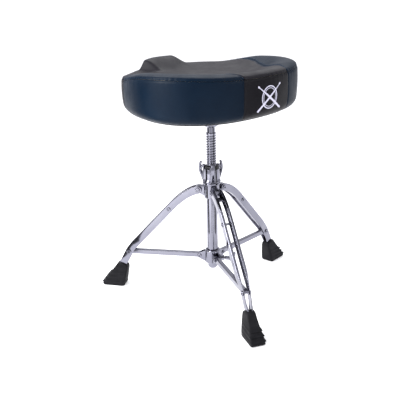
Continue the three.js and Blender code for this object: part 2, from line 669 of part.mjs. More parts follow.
function buildSeat() {
  const boardTop = BOARD_BOTTOM + BOARD_THICKNESS;
  const turned = (solid) => solid.rotate([0, 0, SEAT_HEADING]);
  const pilots = screwSpots().map(([x, y]) => bar(3.4, 480, BOARD_BOTTOM + 10, 12).translate([x, y, 0]));
  const boardInset = EDGE_ROUND + SKIN + 1;
  const board = cut(turned(plate(seatPlan(boardInset), BOARD_BOTTOM, boardTop)), ...pilots);
  const lining = cut(turned(plate(seatPlan(27), PLATE_TOP + GAP, SEAT_BOTTOM - GAP)), ...pilots);
  const foamInset = SKIN + 1;
  const foam = polarSolid(drawnIn(foamInset), flatAt(boardTop + GAP, foamInset), [1]);
  const top = polarSolid(drawnIn(0), drawnIn(SKIN), TOP_SHARES);
  place('seat_board', board, MATERIALS.plywood);
  place('dust_cover', lining, MATERIALS.lining);
  place('foam_pad', foam, MATERIALS.foam, SEAT_HEADING);
  place('top_cover_left', top.intersect(wingCutter(1, 0)), MATERIALS.navy, SEAT_HEADING);
  place('top_cover_right', top.intersect(wingCutter(-1, 0)), MATERIALS.navy, SEAT_HEADING);
  place('top_cover_centre', cut(top, wingCutter(1, GAP), wingCutter(-1, GAP)), MATERIALS.charcoal, SEAT_HEADING);
  const back = BACK_PANEL_STEPS;
  const side = WING_END_STEPS;
  place('boxing_left', boxing(back, side), MATERIALS.navy, SEAT_HEADING);
  place('boxing_right', boxing(-side, -back), MATERIALS.navy, SEAT_HEADING);
  place('boxing_back', boxing(-back, back), MATERIALS.charcoal, SEAT_HEADING);
  place('boxing_front', boxing(side, SEAT_STEPS - side), MATERIALS.charcoal, SEAT_HEADING);
  place('seat_bracket', seatBracket(), MATERIALS.chrome);
  screwSpots().forEach((spot, k) => place(`plate_screw_${k + 1}`, plateScrew(spot), MATERIALS.zinc));
  place('clamp_bolt', clampBolt(), MATERIALS.zinc);
  place('clamp_nut', clampNut(), MATERIALS.zinc);
}

function buildLeg(name, heading) {
  place(`leg_${name}_strip_a`, legStrip(1), MATERIALS.chrome, heading);
  place(`leg_${name}_strip_b`, legStrip(-1), MATERIALS.chrome, heading);
  place(`leg_${name}_bridge`, legBridge(), MATERIALS.chrome, heading);
  place(`leg_${name}_pivot_rivet`, throughRivet(LEG_PIVOT, RIVET_RADIUS, RIVET_HEAD, STRIP_OUTER), MATERIALS.chrome, heading);
  place(`leg_${name}_mid_rivet`, throughRivet(midRivetSpot(), RIVET_RADIUS, 5.4, STRIP_OUTER), MATERIALS.chrome, heading);
  place(`leg_${name}_stub_rivet_a`, stubRivet(1), MATERIALS.chrome, heading);
  place(`leg_${name}_stub_rivet_b`, stubRivet(-1), MATERIALS.chrome, heading);
  place(`foot_${name}`, foot(), MATERIALS.rubber, heading);
  place(`brace_${name}`, brace(), MATERIALS.chrome, heading);
  place(`brace_${name}_rivet`, throughRivet(BRACE_INNER, BRACE_RIVET_RADIUS, BRACE_RIVET_HEAD, CHEEK_OUTER),
    MATERIALS.chrome, heading);
}

place('column_tube', columnTube(), MATERIALS.chrome);
place('column_cap', columnCap(), MATERIALS.chrome);
place('upper_hub', upperHub(), MATERIALS.chrome);
place('lower_hub', lowerHub(), MATERIALS.chrome);
place('wing_bolt', wingBolt(), MATERIALS.chrome);
place('crown_nut', crownNut(), MATERIALS.chrome);
place('nylon_insert', nylonInsert(), MATERIALS.nylon);
place('threaded_rod', threadedRod(), MATERIALS.chrome);
Object.entries(LEG_HEADINGS).forEach(([name, heading]) => buildLeg(name, heading));
buildSeat();

// Centre the footprint on the origin.
const box = new THREE.Box3().setFromObject(throne, true);
throne.position.set(-(box.min.x + box.max.x) / 2, -(box.min.y + box.max.y) / 2, 0);

export default throne;
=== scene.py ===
"""A folding drum throne: padded saddle seat, threaded height rod and double-strip tripod.

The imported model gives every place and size. Lengths here are in millimetres from the column's
axis unless a name says otherwise, and BASE turns them into the frame's metres.
"""

import math

import bmesh
import bpy
import numpy as np
from mathutils import Matrix, Vector


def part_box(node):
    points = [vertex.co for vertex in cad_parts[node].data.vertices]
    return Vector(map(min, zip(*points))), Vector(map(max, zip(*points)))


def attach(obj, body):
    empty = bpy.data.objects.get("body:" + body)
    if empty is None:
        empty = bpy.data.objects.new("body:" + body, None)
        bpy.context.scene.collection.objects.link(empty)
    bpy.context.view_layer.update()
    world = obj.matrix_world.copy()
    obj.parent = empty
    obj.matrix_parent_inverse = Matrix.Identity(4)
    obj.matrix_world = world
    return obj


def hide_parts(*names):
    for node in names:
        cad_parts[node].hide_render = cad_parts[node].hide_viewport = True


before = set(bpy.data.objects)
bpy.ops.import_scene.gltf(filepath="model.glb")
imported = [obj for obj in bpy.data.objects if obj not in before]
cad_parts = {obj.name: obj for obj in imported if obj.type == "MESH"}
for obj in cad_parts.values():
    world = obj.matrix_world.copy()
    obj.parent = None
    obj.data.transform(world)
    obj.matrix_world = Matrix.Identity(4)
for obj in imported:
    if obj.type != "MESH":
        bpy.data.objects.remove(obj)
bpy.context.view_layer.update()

MM = 0.001
SCENE = bpy.context.scene
TUBE_LOW, TUBE_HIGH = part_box("column_tube")
AXIS = Vector(((TUBE_LOW.x + TUBE_HIGH.x) / 2, (TUBE_LOW.y + TUBE_HIGH.y) / 2, 0))
BASE = Matrix.Translation(AXIS) @ Matrix.Scale(MM, 4)

# Headings about the column, in degrees from +X.
LEGS = {"front": -90, "right": 30, "left": 150}
SEAT_HEADING = -62.8
CROWN_HEADING = 17.6
WING_BOLT_HEADING = -30


# ------------------------------------------------------------------ places
def heading(degrees):
    """Turns lengths along a heading, across it and up into the frame."""
    return BASE @ Matrix.Rotation(math.radians(degrees), 4, "Z")


def across(degrees, r, z):
    """A frame whose own Z runs across a leg's plane, at a distance and a height."""
    turn = Matrix.Rotation(math.radians(-90), 4, "X")
    return heading(degrees) @ Matrix.Translation((r, 0, z)) @ turn


def outward(degrees, z):
    """A frame whose own Z runs out from the column along a heading."""
    return heading(degrees) @ Matrix.Translation((0, 0, z)) @ Matrix.Rotation(math.radians(90), 4, "Y")


def node_span(node):
    """A CAD node's lowest and highest height."""
    low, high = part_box(node)
    return low.z / MM, high.z / MM


# ------------------------------------------------------------------ materials
class Paint:
    """A Principled material under construction."""

    def __init__(self, name, colour, roughness, metallic=0.0, **sockets):
        self.material = bpy.data.materials.new(name)
        self.material.use_nodes = True
        self.tree = self.material.node_tree
        self.shader = self.tree.nodes["Principled BSDF"]
        self.shader.inputs["Base Color"].default_value = (*colour, 1)
        self.shader.inputs["Roughness"].default_value = roughness
        self.shader.inputs["Metallic"].default_value = metallic
        for socket, value in sockets.items():
            self.shader.inputs[socket.replace("_", " ")].default_value = value
        self.coordinates = self.tree.nodes.new("ShaderNodeTexCoord").outputs["Object"]

    def node(self, kind, inputs=(), **settings):
        made = self.tree.nodes.new("ShaderNode" + kind)
        for key, value in settings.items():
            setattr(made, key, value)
        for key, value in dict(inputs).items():
            if isinstance(value, bpy.types.NodeSocket):
                self.tree.links.new(value, made.inputs[key])
            else:
                made.inputs[key].default_value = value
        return made

    def noise(self, per_metre, detail=4.0, stretch=(1, 1, 1), roughness=0.55):
        place = self.node("Mapping", {"Vector": self.coordinates, "Scale": stretch})
        return self.node("TexNoise", {"Vector": place.outputs[0], "Scale": per_metre, "Detail": detail,
                                      "Roughness": roughness}).outputs["Fac"]

    def cells(self, per_metre, feature="F1"):
        return self.node("TexVoronoi", {"Vector": self.coordinates, "Scale": per_metre},
                         feature=feature).outputs["Distance"]

    def spread(self, source, low, high, from_low=0.3, from_high=0.7):
        return self.node("MapRange", {"Value": source, "From Min": from_low, "From Max": from_high,
                                      "To Min": low, "To Max": high}).outputs["Result"]

    def mix(self, factor, first, second):
        made = self.node("Mix", data_type="RGBA")
        self.tree.links.new(factor, made.inputs["Factor"])
        for key, value in ((6, first), (7, second)):
            if isinstance(value, bpy.types.NodeSocket):
                self.tree.links.new(value, made.inputs[key])
            else:
                made.inputs[key].default_value = (*value, 1)
        return made.outputs[2]

    def colour(self, source):
        self.tree.links.new(source, self.shader.inputs["Base Color"])

    def roughness(self, source):
        self.tree.links.new(source, self.shader.inputs["Roughness"])

    def bump(self, *layers):
        """Adds (height, strength, distance in metres) layers, one on another."""
        normal = None
        for height, strength, distance in layers:
            inputs = {"Height": height, "Strength": strength, "Distance": distance}
            if normal is not None:
                inputs["Normal"] = normal
            normal = self.node("Bump", inputs).outputs["Normal"]
        self.tree.links.new(normal, self.shader.inputs["Normal"])


def chrome_plate():
    paint = Paint("chrome_plate", (0.23, 0.23, 0.28), 0.10, metallic=1.0)
    haze = paint.noise(38, detail=5)
    paint.roughness(paint.spread(haze, 0.07, 0.15))
    cloud = paint.spread(paint.noise(14), 0, 1)
    paint.colour(paint.mix(cloud, (0.205, 0.205, 0.25), (0.265, 0.265, 0.31)))
    paint.bump((paint.noise(900, detail=2, stretch=(1, 1, 0.05)), 0.03, 0.0002))
    return paint.material


def zinc_plate():
    paint = Paint("zinc_plate", (0.55, 0.55, 0.58), 0.32, metallic=1.0)
    paint.roughness(paint.spread(paint.noise(160), 0.24, 0.42))
    cloud = paint.spread(paint.noise(60), 0, 1)
    paint.colour(paint.mix(cloud, (0.50, 0.50, 0.54), (0.62, 0.61, 0.60)))
    paint.bump((paint.noise(1500, detail=3), 0.08, 0.0002))
    return paint.material


def moulded_nylon():
    paint = Paint("moulded_nylon", (0.008, 0.008, 0.010), 0.45, Specular_IOR_Level=0.2)
    paint.roughness(paint.spread(paint.noise(220), 0.38, 0.55))
    paint.bump((paint.noise(1800, detail=3), 0.12, 0.0002))
    return paint.material


def moulded_rubber():
    paint = Paint("moulded_rubber", (0.006, 0.006, 0.008), 0.42, Specular_IOR_Level=0.15)
    scuff = paint.spread(paint.noise(90, detail=8, roughness=0.7), 0, 1, 0.45, 0.75)
    paint.colour(paint.mix(scuff, (0.0045, 0.0045, 0.006), (0.012, 0.0115, 0.014)))
    paint.roughness(paint.spread(paint.noise(45), 0.5, 0.72))
    paint.bump((paint.noise(2600, detail=3), 0.25, 0.0003), (paint.cells(900), 0.08, 0.0003))
    return paint.material


def grained_vinyl(name, deep, light, gloss, shine):
    """Embossed upholstery vinyl: soft pebbles, fine pores painted darker as painted shade, and worn high
    spots.
    """
    paint = Paint(name, deep, gloss, Specular_IOR_Level=shine)
    mottle = paint.spread(paint.noise(11, detail=3), 0, 1)
    # The pores are painted darker: painted shade in the grain's hollows.
    pores = paint.spread(paint.cells(1100), 0, 1, 0.0, 0.45)
    tone = paint.mix(mottle, deep, light)
    shade = tuple(channel * 0.72 for channel in deep)
    paint.colour(paint.mix(pores, shade, tone))
    paint.roughness(paint.spread(paint.noise(26, detail=4), gloss - 0.06, gloss + 0.08))
    pebbles = paint.cells(620, "SMOOTH_F1")
    paint.bump((pebbles, 0.16, 0.0005), (paint.noise(2100, detail=3), 0.10, 0.0003),
               (paint.noise(30, detail=2), 0.10, 0.0015))
    return paint.material


def layered_plywood():
    paint = Paint("layered_plywood", (0.48, 0.33, 0.18), 0.7)
    plies = paint.node("TexWave", {"Vector": paint.coordinates, "Scale": 260.0, "Distortion": 0.6},
                       bands_direction="Z").outputs["Fac"]
    paint.colour(paint.mix(plies, (0.33, 0.20, 0.10), (0.60, 0.43, 0.25)))
    paint.bump((paint.noise(300, stretch=(1, 8, 8)), 0.2, 0.0005))
    return paint.material


def cut_foam():
    paint = Paint("cut_foam", (0.72, 0.66, 0.50), 0.95)
    paint.colour(paint.mix(paint.spread(paint.noise(70), 0, 1), (0.62, 0.55, 0.38), (0.80, 0.75, 0.60)))
    paint.bump((paint.cells(700), 0.5, 0.001))
    return paint.material


def bonded_cloth():
    paint = Paint("bonded_cloth", (0.018, 0.018, 0.02), 0.9)
    fibre = paint.noise(1400, detail=6, stretch=(1, 3, 1), roughness=0.75)
    paint.colour(paint.mix(paint.spread(fibre, 0, 1), (0.010, 0.010, 0.012), (0.04, 0.04, 0.043)))
    paint.bump((fibre, 0.35, 0.0004))
    return paint.material


def twisted_thread(name, colour):
    paint = Paint(name, colour, 0.6)
    paint.roughness(paint.spread(paint.noise(1500), 0.5, 0.75))
    paint.bump((paint.noise(2500, detail=2), 0.4, 0.0002))
    return paint.material


def screen_print():
    paint = Paint("screen_print", (0.62, 0.61, 0.74), 0.5)
    wear = paint.spread(paint.noise(500, detail=5), 0, 1)
    paint.colour(paint.mix(wear, (0.52, 0.51, 0.64), (0.68, 0.67, 0.80)))
    paint.bump((paint.cells(1100), 0.1, 0.0003))
    return paint.material


CHROME = chrome_plate()
ZINC = zinc_plate()
NYLON = moulded_nylon()
RUBBER = moulded_rubber()
BLUE = grained_vinyl("blue_vinyl", (0.0013, 0.0060, 0.0150), (0.0024, 0.0094, 0.0215), 0.42, 0.08)
CHARCOAL = grained_vinyl("charcoal_vinyl", (0.0062, 0.0058, 0.0080), (0.0095, 0.0090, 0.0115), 0.45, 0.10)
# The top cover's copy of the charcoal vinyl, painted lighter and shinier than the boxing's: a painted sheen
# where the top and rear light falls on the seat's top.
CHARCOAL_LIT_TOP = grained_vinyl("charcoal_vinyl_lit_top", (0.0076, 0.0070, 0.0104), (0.0125, 0.0118, 0.0165), 0.50, 0.16)
PLYWOOD = layered_plywood()
FOAM = cut_foam()
LINING = bonded_cloth()
BLUE_THREAD = twisted_thread("blue_thread", (0.012, 0.026, 0.055))
PRINT = screen_print()


# ------------------------------------------------------------------ mesh tools
BEVEL_ANGLE = 35


def ease(low, high, x):
    """Climbs smoothly from 0 at low to 1 at high."""
    t = min(max((x - low) / (high - low), 0), 1)
    return t * t * (3 - 2 * t)


def lathe(profile, matrix, segments=64):
    """Turns [radius, z] points about Z. A profile off the axis is a closed loop."""
    solid = profile[0][0] == 0 and profile[-1][0] == 0
    n = len(profile)
    points = []
    for i in range(segments):
        a = 2 * math.pi * i / segments
        points += [matrix @ Vector((r * math.cos(a), r * math.sin(a), z)) for r, z in profile]
    faces = []
    for i in range(segments):
        j = (i + 1) % segments
        for k in range(n - 1 if solid else n):
            m = (k + 1) % n
            faces.append((i * n + k, j * n + k, j * n + m, i * n + m))
    return points, faces


def loft(rings):
    """A closed solid through rings of points, with a flat end at each side."""
    n = len(rings[0])
    points = [p for ring in rings for p in ring]
    faces = []
    for k in range(len(rings) - 1):
        for i in range(n):
            j = (i + 1) % n
            faces.append((k * n + i, k * n + j, (k + 1) * n + j, (k + 1) * n + i))
    faces.append(tuple(range(n)))
    faces.append(tuple(range((len(rings) - 1) * n, len(rings) * n)))
    return points, faces


def sweep(path, section, matrix):
    """Carries section(k) = [(along the path's normal, across)] along a path of [distance, height]."""
    rings = []
    for k, (r, z) in enumerate(path):
        before, after = Vector(path[max(k - 1, 0)]), Vector(path[min(k + 1, len(path) - 1)])
        run = (after - before).normalized()
        rings.append([matrix @ Vector((r - run.y * a, b, z + run.x * a)) for a, b in section(k)])
    return loft(rings)


def slab(outline, low, high, matrix):
    """A [distance, height] outline given thickness across the leg's plane."""
    return loft([[matrix @ Vector((r, side, z)) for r, z in outline] for side in (low, high)])


def rounded(points, radius, steps=4, closed=True):
    """Softens an outline's corners; radius is one number or one for each corner."""
    out = []
    n = len(points)
    for i, corner in enumerate(points):
        corner = Vector(corner)
        if not closed and i in (0, n - 1):
            out.append(tuple(corner))
            continue
        before = Vector(points[i - 1]) - corner
        after = Vector(points[(i + 1) % n]) - corner
        size = radius[i] if isinstance(radius, (list, tuple)) else radius
        angle = max(before.angle(after), 0.05)
        reach = min(size / math.tan(angle / 2), 0.48 * before.length, 0.48 * after.length)
        if reach < 1e-3:
            out.append(tuple(corner))
            continue
        start = corner + before.normalized() * reach
        end = corner + after.normalized() * reach
        for k in range(steps + 1):
            t = k / steps
            out.append(tuple(start * (1 - t) ** 2 + corner * 2 * t * (1 - t) + end * t * t))
    return out


def curve_through(points, steps=8):
    """A smooth run through given points."""
    full = [points[0], *points, points[-1]]
    out = []
    for i in range(1, len(full) - 2):
        p0, p1, p2, p3 = (Vector(p) for p in full[i - 1:i + 3])
        for k in range(steps):
            t = k / steps
            out.append(tuple(0.5 * (2 * p1 + (p2 - p0) * t + (2 * p0 - 5 * p1 + 4 * p2 - p3) * t * t
                                    + (3 * p1 - p0 - 3 * p2 + p3) * t ** 3)))
    out.append(tuple(points[-1]))
    return out


def shade(mesh, smooth_angle):
    """Shades a mesh smooth, apart from edges sharper than an angle in degrees."""
    mesh.shade_smooth()
    mesh.set_sharp_from_angle(angle=math.radians(smooth_angle))


def soften(mesh, smooth_angle):
    """Joins loose vertices, turns faces outwards and keeps only true edges sharp."""
    work = bmesh.new()
    work.from_mesh(mesh)
    bmesh.ops.remove_doubles(work, verts=work.verts, dist=2e-6)
    bmesh.ops.dissolve_degenerate(work, edges=work.edges, dist=1e-6)
    bmesh.ops.recalc_face_normals(work, faces=work.faces)
    work.to_mesh(mesh)
    work.free()
    shade(mesh, smooth_angle)


def carry_out(obj):
    """Replaces an object's modifiers by the plain mesh they make."""
    bpy.context.view_layer.update()
    finished = obj.evaluated_get(bpy.context.evaluated_depsgraph_get())
    mesh = bpy.data.meshes.new_from_object(finished)
    obj.modifiers.clear()
    obj.data = mesh


def placed(name, data):
    """A new object in the scene for a mesh, lamp or camera."""
    obj = bpy.data.objects.new(name, data)
    SCENE.collection.objects.link(obj)
    return obj


def new_object(name, points, faces, material):
    mesh = bpy.data.meshes.new(name)
    mesh.from_pydata([tuple(p) for p in points], [], faces)
    mesh.materials.append(material)
    return placed(name, mesh)


def bevelled(obj, width, segments=3):
    edge = obj.modifiers.new("edge", "BEVEL")
    edge.width = width * MM
    edge.segments = segments
    edge.limit_method = "ANGLE"
    edge.angle_limit = math.radians(BEVEL_ANGLE)
    carry_out(obj)


def piece(name, shells, material, body, nodes, slot, bevel=0.0, smooth_angle=40):
    """One visible piece from (points, faces) shells; each bevelled, then joined."""
    made = []
    for k, (points, faces) in enumerate(shells):
        obj = new_object(f"{name}_{k}", points, faces, material)
        soften(obj.data, smooth_angle)
        width = bevel[k] if isinstance(bevel, (list, tuple)) else bevel
        if width:
            bevelled(obj, width)
        made.append(obj)
    work = bmesh.new()
    for obj in made:
        work.from_mesh(obj.data)
        bpy.data.objects.remove(obj)
    mesh = bpy.data.meshes.new(name)
    work.to_mesh(mesh)
    work.free()
    mesh.materials.append(material)
    shade(mesh, smooth_angle)
    settle(placed(name, mesh), body, nodes, slot)


def settle(obj, body, nodes, slot):
    """Gives a finished piece its body and hides the CAD nodes it stands for; its material slot is not used.
    """
    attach(obj, body)
    if nodes:
        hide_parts(*nodes)


def refined(node, name, material, body, slot, bevel):
    """A softened copy of a CAD node, for cast and machined pieces whose shape is already right."""
    obj = placed(name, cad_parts[node].data.copy())
    work = bmesh.new()
    work.from_mesh(obj.data)
    bmesh.ops.remove_doubles(work, verts=work.verts, dist=2e-5)
    bmesh.ops.dissolve_limit(work, angle_limit=math.radians(2), verts=work.verts, edges=work.edges)
    work.to_mesh(obj.data)
    work.free()
    obj.data.materials.clear()
    obj.data.materials.append(material)
    bevelled(obj, bevel, segments=2)
    shade(obj.data, 32)
    settle(obj, body, [node], slot)


# ------------------------------------------------------------------ node trees
class Tree:
    """A Geometry Nodes tree with named inputs, built for one piece."""

    def __init__(self, name, **inputs):
        self.group = bpy.data.node_groups.new(name, "GeometryNodeTree")
        face = self.group.interface
        face.new_socket("Geometry", in_out="INPUT", socket_type="NodeSocketGeometry")
        face.new_socket("Geometry", in_out="OUTPUT", socket_type="NodeSocketGeometry")
        self.values = {}
        for key, value in inputs.items():
            kind = {int: "NodeSocketInt", float: "NodeSocketFloat"}.get(type(value), "NodeSocketMaterial")
            if isinstance(value, bpy.types.Object):
                kind = "NodeSocketObject"
            socket = face.new_socket(key, in_out="INPUT", socket_type=kind)
            self.values[socket.identifier] = value
        self.given = self.group.nodes.new("NodeGroupInput").outputs
        self.result = self.group.nodes.new("NodeGroupOutput")

    def add(self, kind, inputs=(), **settings):
        made = self.group.nodes.new(kind)
        for key, value in settings.items():
            setattr(made, key, value)
        for key, value in dict(inputs).items():
            if isinstance(value, bpy.types.NodeSocket):
                self.group.links.new(value, made.inputs[key])
            else:
                made.inputs[key].default_value = value
        return made

    def math(self, operation, first, second):
        return self.add("ShaderNodeMath", {0: first, 1: second}, operation=operation).outputs[0]

    def range(self, value, from_low, from_high, low=0.0, high=1.0, **settings):
        return self.add("ShaderNodeMapRange", {"Value": value, "From Min": from_low, "From Max": from_high,
                                               "To Min": low, "To Max": high}, **settings).outputs[0]

    def end(self, geometry):
        """Realises instances, gives the material and closes the tree."""
        real = self.add("GeometryNodeRealizeInstances", {"Geometry": geometry})
        paint = self.add("GeometryNodeSetMaterial",
                         {"Geometry": real.outputs[0], "Material": self.given["material"]})
        self.group.links.new(paint.outputs[0], self.result.inputs[0])

    def grow(self, obj):
        """Runs the tree on an object and leaves a plain mesh."""
        modifier = obj.modifiers.new("grow", "NODES")
        modifier.node_group = self.group
        for identifier, value in self.values.items():
            modifier[identifier] = value
        obj.data.update()
        carry_out(obj)


# ------------------------------------------------------------------ linkage sizes
# Places are (distance from the column, height).
TUBE_INNER, TUBE_OUTER = 13.1, 14.3
COLLAR_BORE = 14.6
LEG_PIVOT = (33.9, 284.8)
BRACE_OUTER = (228.4, 100.7)
BRACE_INNER = (33.5, 102.7)
MID_RIVET = (112, 229.6)
SHOULDER, SHOULDER_END = (67.5, 277.5), (105, 237.1)
KNEE_START, KNEE, KNEE_END = (210, 124.5), (222.4, 111.2), (230, 97)
STRIP_END = (251, 57.5)
NOSE_TURN = (0.12, math.pi / 2, 9)     # first and last angle and the points of a strip's round end
STRIP_HALF = 10
STRIP_WALL = 1.8
LEG_HALF_WIDTH = 14
EAR_ROUND, EAR_HALF = 11, 6.5
BRACE_HALF_HEIGHT = 6.25
BRACE_HALF_WIDTH = 6
CHEEK_INNER, CHEEK_OUTER, CHEEK_ROUND = 6.6, 8.6, 7
RIVET_RISE = 2
WING_BOLT_Z = 97
FOOT_RIBS = (12, 22.5, 33)


# ------------------------------------------------------------------ column
def build_column():
    low, high = node_span("column_tube")
    corners = [(TUBE_INNER, low), (TUBE_OUTER, low), (TUBE_OUTER, high), (TUBE_INNER, high)]
    wall = rounded(corners, 0.4, 2)
    piece("tube", [lathe(wall, BASE, 96)], CHROME, "column", ["column_tube"], "chrome")
    base, top = node_span("column_cap")
    cup = rounded([(0, base + 3), (4.6, base + 3), (5.2, base), (9, base), (12.6, base + 5),
                   (12.6, low - 0.4), (12.2, low - 0.3), (12.2, top), (0, top)],
                  [0, 0.6, 1.2, 3, 4, 0.6, 0, 1.5, 0], 5, closed=False)
    piece("end_cap", [lathe(cup, BASE, 72)], CHROME, "column", ["column_cap"], "chrome")


def build_upper_hub():
    low, high = node_span("upper_hub")
    tube_top = node_span("column_tube")[1]
    collar = rounded([(COLLAR_BORE, low), (18.6, low), (20, low + 1.6), (20, high - 6), (23, high - 4.6),
                      (23, high), (13.3, high), (13.3, tube_top + 0.3), (COLLAR_BORE, tube_top + 0.3)],
                     [0.5, 1.5, 1.2, 1.5, 1.6, 1.4, 0.5, 0.3, 0.3], 4)
    shells = [lathe(collar, BASE, 96)]
    r, z = LEG_PIVOT
    tip = [(r + EAR_ROUND * math.cos(a), z + EAR_ROUND * math.sin(a))
           for a in np.linspace(-math.pi / 2, math.pi / 2, 15)]
    ear = [(15.6, low + 3), (r - 4, z - EAR_ROUND), *tip, (15.6, z + EAR_ROUND)]
    for degrees in LEGS.values():
        shells.append(slab(ear, -EAR_HALF, EAR_HALF, heading(degrees)))
    piece("hub_upper", shells, CHROME, "column", ["upper_hub"], "chrome", bevel=[0, 1.3, 1.3, 1.3])


# ------------------------------------------------------------------ legs
def bend(start, control, end, steps):
    """A quadratic bend, without its last point."""
    a, b, c = Vector(start), Vector(control), Vector(end)
    return [tuple(a * (1 - t) ** 2 + b * 2 * t * (1 - t) + c * t * t)
            for t in np.linspace(0, 1, steps + 1)[:-1]]


def straight(start, end, steps):
    """A straight run, without its last point."""
    a, b = Vector(start), Vector(end)
    return [tuple(a.lerp(b, t)) for t in np.linspace(0, 1, steps + 1)[:-1]]


def leg_path():
    """The strip's centre line, from its round end behind the pivot to inside the foot."""
    start = Vector(LEG_PIVOT)
    run = (Vector(SHOULDER) - start).normalized()
    nose = [tuple(start - run * STRIP_HALF * math.cos(a)) for a in np.linspace(*NOSE_TURN)[:-1]]
    return [*nose, *bend(LEG_PIVOT, SHOULDER, SHOULDER_END, 22), *straight(SHOULDER_END, KNEE_START, 14),
            *bend(KNEE_START, KNEE, KNEE_END, 12), *straight(KNEE_END, STRIP_END, 8), STRIP_END]


def strip_spread(r):
    """Half the leg's outer width and the channel's depth, at a distance from the column."""
    outer = LEG_HALF_WIDTH - 5.3 * ease(196, 230, r) - 0.7 * ease(228, 250, r) - 0.8 * ease(238, 251, r)
    return outer, 7 - 5.1 * ease(196, 226, r) + 1.7 * ease(237, 246, r)


def strip(degrees, side):
    path = leg_path()
    start = Vector(LEG_PIVOT)

    def section(k):
        point = Vector(path[k])
        on_nose = k < NOSE_TURN[2] - 1
        half = math.sqrt(max(STRIP_HALF ** 2 - (point - start).length_squared, 1)) if on_nose else STRIP_HALF
        outer, depth = strip_spread(point.x)
        wall = min(STRIP_WALL, half * 0.6)
        corners = [(-half, outer), (half, outer), (half, outer - depth), (half - wall, outer - depth),
                   (half - wall, outer - wall), (wall - half, outer - wall), (wall - half, outer - depth),
                   (-half, outer - depth)]
        soft = rounded(corners, [2.4, 2.4, 0.6, 0.4, 1.2, 1.2, 0.4, 0.6], 4)
        return [(a, -side * b) for a, b in soft]

    return sweep(path, section, heading(degrees))


def rivet_head(face, head, hollow, sign, matrix):
    """A rolled tubular rivet end, its dark bore open to the outside."""
    top = face + RIVET_RISE
    profile = rounded([(0, top - 5), (hollow, top - 5), (hollow, top - 0.5), (hollow + 0.9, top),
                       (head - 1.4, top), (head, top - 1.1), (head, face), (0, face)],
                      [0, 0, 0.5, 0.6, 1.2, 1.0, 0.3, 0], 4, closed=False)
    return lathe([(r, z * sign) for r, z in profile], matrix, 40)


def through_rivet(name, node, degrees, place, face, head, body):
    """A rivet through a whole leg or brace, whose outer faces lie at a distance face from its middle."""
    matrix = across(degrees, *place)
    ends = [rivet_head(face + 0.3, head, 0.36 * head, sign, matrix) for sign in (1, -1)]
    reach, thick = face + 0.4, 0.55 * head
    shaft = rounded([(0, -reach), (thick, -reach), (thick, reach), (0, reach)], 0.1, 2, closed=False)
    piece(name, [*ends, lathe(shaft, matrix, 32)], CHROME, body, [node], "chrome")


def stub_rivet(name, node, degrees, side, body):
    """The rivet that holds one strip to the brace's outer end."""
    outer, depth = strip_spread(BRACE_OUTER[0])
    head = 6.5
    face = strip_spread(BRACE_OUTER[0] - head)[0] + 0.3
    matrix = across(degrees, *BRACE_OUTER)
    inner = outer - depth - 0.2
    shank = [(0, inner), (4, inner), (4, face + 0.1), (0, face + 0.1)]
    shells = [rivet_head(face, head, 2.4, -side, matrix),
              lathe([(r, -side * z) for r, z in shank], matrix, 32)]
    piece(name, shells, CHROME, body, [node], "chrome")


def bridge(name, node, degrees, body):
    """The pressed web between the strips, with its edges turned down."""
    slope = math.radians(-17)
    middle, turned_down, half = (60, 277.5), 1.8, 11.8
    along = []
    for d in (-7.5, -6.9, -5.5, 0, 5.5, 6.9, 7.5):
        lower = turned_down if abs(d) > 6.8 else 0
        along.append((middle[0] + d * math.cos(slope), middle[1] + d * math.sin(slope) - lower))
    section = rounded([(-1, -half), (1, -half), (1, half), (-1, half)], 0.6, 3)
    piece(name, [sweep(along, lambda k: section, heading(degrees))], CHROME, body, [node], "chrome",
          smooth_angle=50)


def foot(name, node, degrees, body):
    """A ribbed rubber boot: slanted outwards, with a flat sole."""
    matrix = heading(degrees)
    inner = curve_through([(247.5, 0), (244.5, 2.2), (243.2, 8), (238.5, 30), (234.5, 48), (234.5, 56),
                           (238.5, 61.5), (245, 64)], 14)
    outer = curve_through([(304.5, 0), (308, 2.2), (308.2, 8), (294, 27), (279.5, 46), (270, 59),
                           (265.5, 64.5), (258, 68.5)], 14)
    rings = []
    for (r_in, z_in), (r_out, z_out) in zip(inner, outer):
        middle = (z_in + z_out) / 2
        rib = sum(math.exp(-((middle - z) / 1.9) ** 4) for z in FOOT_RIBS)
        half = 19.2 - 6.6 * ease(4, 62, middle) - 1.6 * (1 - ease(0, 3, middle)) - 1.6 * ease(60, 67, middle)
        reach = r_out + 4.2 * rib - 3.0
        wide = half + 2.0 * rib - 1.0
        corners = [(r_in, -half), (reach, -wide), (reach, wide), (r_in, half)]
        outline = rounded(corners, [6, 4.5, 4.5, 6], 5)
        rings.append([matrix @ Vector((r, t, z_in + (z_out - z_in) * (r - r_in) / max(r_out - r_in, 1)))
                      for r, t in outline])
    piece(name, [loft(rings)], RUBBER, body, [node], "rubber", smooth_angle=60)


def build_leg(name, degrees):
    body = f"leg_{name}"
    for letter, side in (("a", 1), ("b", -1)):
        piece(f"pressed_strip_{name}_{letter}", [strip(degrees, side)], CHROME, body,
              [f"leg_{name}_strip_{letter}"], "chrome", smooth_angle=50)
        stub_rivet(f"brace_end_rivet_{name}_{letter}", f"leg_{name}_stub_rivet_{letter}", degrees, side, body)
    through_rivet(f"hub_rivet_{name}", f"leg_{name}_pivot_rivet", degrees, LEG_PIVOT, LEG_HALF_WIDTH, 6.5,
                  body)
    through_rivet(f"middle_rivet_{name}", f"leg_{name}_mid_rivet", degrees, MID_RIVET, LEG_HALF_WIDTH, 5.4,
                  body)
    bridge(f"web_{name}", f"leg_{name}_bridge", degrees, body)
    foot(f"rubber_foot_{name}", f"foot_{name}", degrees, body)


